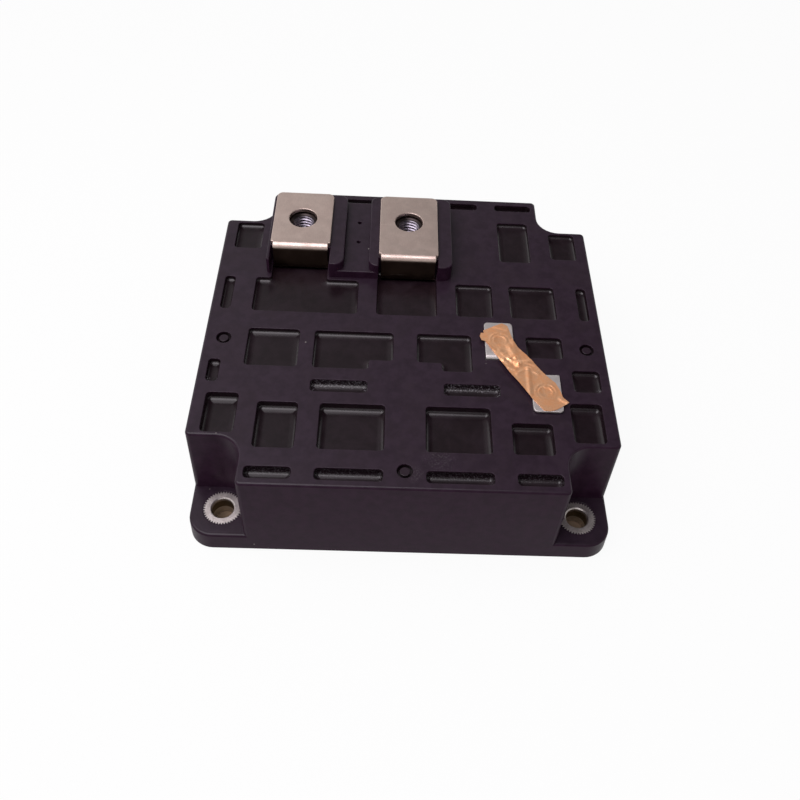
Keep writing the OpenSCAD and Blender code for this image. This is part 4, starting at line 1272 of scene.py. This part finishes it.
plate_nickel = dress(new_material("plate_nickel"), ["base_plate"])
circuit_copper = dress(new_material("circuit_copper"), per_tile("back_copper", "circuit_copper"))
wire_aluminium = dress(new_material("wire_aluminium"), per_tile("bond_wires") + ["gate_jumpers"])
metal(plate_nickel, (0.66, 0.62, 0.57), (0.52, 0.48, 0.43), 0.34, 0.5, 14.0, (0.12, 3, 3), 0.5, 0.006)
metal(circuit_copper, (0.93, 0.58, 0.42), (0.74, 0.38, 0.25), 0.28, 0.45, 4.0)
metal(wire_aluminium, (0.88, 0.88, 0.9), (0.72, 0.72, 0.75), 0.25, 0.4, 0.8)
dress(nut_zinc, ["gate_nut", "sense_nut"])
print("plate, copper, wires and small nuts")

# %% Ceramic, silicon and gel
def mineral(material, pale, dark, smooth, rough, size, fixed, depth):
    tree = material.node_tree
    at = in_millimetres(tree)
    grain = use(tree, fine_grain, Vector=at, Size=size)
    specks = use(tree, dust, Vector=at, Spacing=2.0, Share=0.08, Radius=0.06)
    color = blend(tree, grain["Tone"], pale, dark)
    color = blend(tree, maths(tree, "MULTIPLY", specks["Mask"], 0.4), color, (0.5, 0.48, 0.45))
    finish(material, fixed, color, ramp(tree, grain["Tone"], 0.0, 1.0, smooth, rough), grain["Height"], depth)


tile_ceramic = dress(new_material("tile_ceramic"), per_tile("ceramic_tile"))
chip_silicon = dress(new_material("chip_silicon"),
                     per_tile("igbt_outer", "igbt_inner", "diode_outer", "diode_inner"))
gel = dress(new_material("gel"), ["silicone_gel"])
mineral(tile_ceramic, (0.84, 0.84, 0.8), (0.72, 0.72, 0.68), 0.5, 0.65, 0.15, {}, 0.01)
mineral(chip_silicon, (0.12, 0.12, 0.15), (0.07, 0.07, 0.09), 0.2, 0.32, 0.3, {}, 0.003)
CLEAR = {"Transmission Weight": 0.85, "IOR": 1.41}
mineral(gel, (0.82, 0.85, 0.86), (0.7, 0.74, 0.76), 0.12, 0.25, 1.5, CLEAR, 0.05)
print(len(bpy.data.materials), "materials")

# %% [markdown]
# ## Light and floor
# The module lies on a white table under one soft lamp, above it and a little to its front left. Camera,
# glossy and transmission rays see the floor mostly as plain white, and it keeps the module's shadow. Camera
# rays see the surroundings as white too. All other rays see them fade from white at the horizon to grey
# above, darker on the right. Three things here suit one view only and depart from a plain studio: that
# fade, the lamp's slight tint, and four dark discs of painted shadow on the floor under the bores.

# %% Floor
floor_paint = new_material("floor_paint")
bpy.ops.mesh.primitive_plane_add(size=6, location=(0, 0, -0.0001))
floor = bpy.context.object
floor.name = "floor"
floor.data.materials.append(floor_paint)
tree = floor_paint.node_tree
white = put(tree, "Emission", {"Color": (1, 1, 1, 1), "Strength": 1.0})
path = put(tree, "LightPath").outputs
seen = largest(tree, path["Is Camera Ray"], path["Is Glossy Ray"], path["Is Transmission Ray"])
mirrored = put(tree, "VectorMath", {0: in_millimetres(tree)}, operation="ABSOLUTE").outputs[0]
from_bore = put(tree, "VectorMath", {0: mirrored, 1: (BORE, BORE, 0)}, operation="DISTANCE").outputs["Value"]
# Four dark discs under the bores are painted shadow, seen through the bores.
SHADOW_DISC = 5.0
beyond_shadow_discs = maths(tree, "GREATER_THAN", from_bore, SHADOW_DISC)
paint = put(tree, "BsdfDiffuse", {"Color": blend(tree, beyond_shadow_discs, (0.22, 0.16, 0.11), (0.88, 0.88, 0.88))})
share = product(tree, seen, beyond_shadow_discs, 0.93)
mixed = put(tree, "MixShader", {0: share, 1: paint.outputs[0], 2: white.outputs[0]})
tree.links.new(mixed.outputs[0], tree.nodes["Material Output"].inputs["Surface"])
print("floor is", [round(v, 1) for v in floor.dimensions][:2], "m")

# %% World and lamps
world = bpy.data.worlds.new("surroundings")
bpy.context.scene.world = world
world.use_nodes = True
sky = world.node_tree
across = put(sky, "SeparateXYZ", {0: put(sky, "TexCoord").outputs["Generated"]}).outputs


def fade(value, low, high, start, end):
    """Turns low..high into start..end along a straight line."""
    feeds = {"Value": value, "From Min": low, "From Max": high, "To Min": start, "To Max": end}
    return put(sky, "MapRange", feeds).outputs[0]


upper = fade(across[0], -0.25, 0.25, 0.66, 0.08)
shade = fade(across[2], 0.12, 0.55, 1.0, upper)
shade = largest(sky, shade, put(sky, "LightPath").outputs["Is Camera Ray"])
sky.links.new(shade, sky.nodes["Background"].inputs["Color"])
sky.nodes["Background"].inputs["Strength"].default_value = 1.0
LAMP_TINT = (1.0, 0.94, 1.0)


def lamp(name, place, size, watts, aim=(0, 0, 0.03)):
    data = bpy.data.lights.new(name, "AREA")
    data.shape = "RECTANGLE"
    data.size, data.size_y = size
    data.energy = watts
    data.color = LAMP_TINT
    light = bpy.data.objects.new(name, data)
    bpy.context.scene.collection.objects.link(light)
    light.location = place
    light.rotation_euler = (Vector(aim) - Vector(place)).to_track_quat("-Z", "Y").to_euler()
    return light


lamp("softbox", (-0.16, -0.1, 0.5), (0.5, 0.42), 1.9)
bpy.context.scene.view_settings.view_transform = "Standard"
print("one softbox and a soft surrounding")
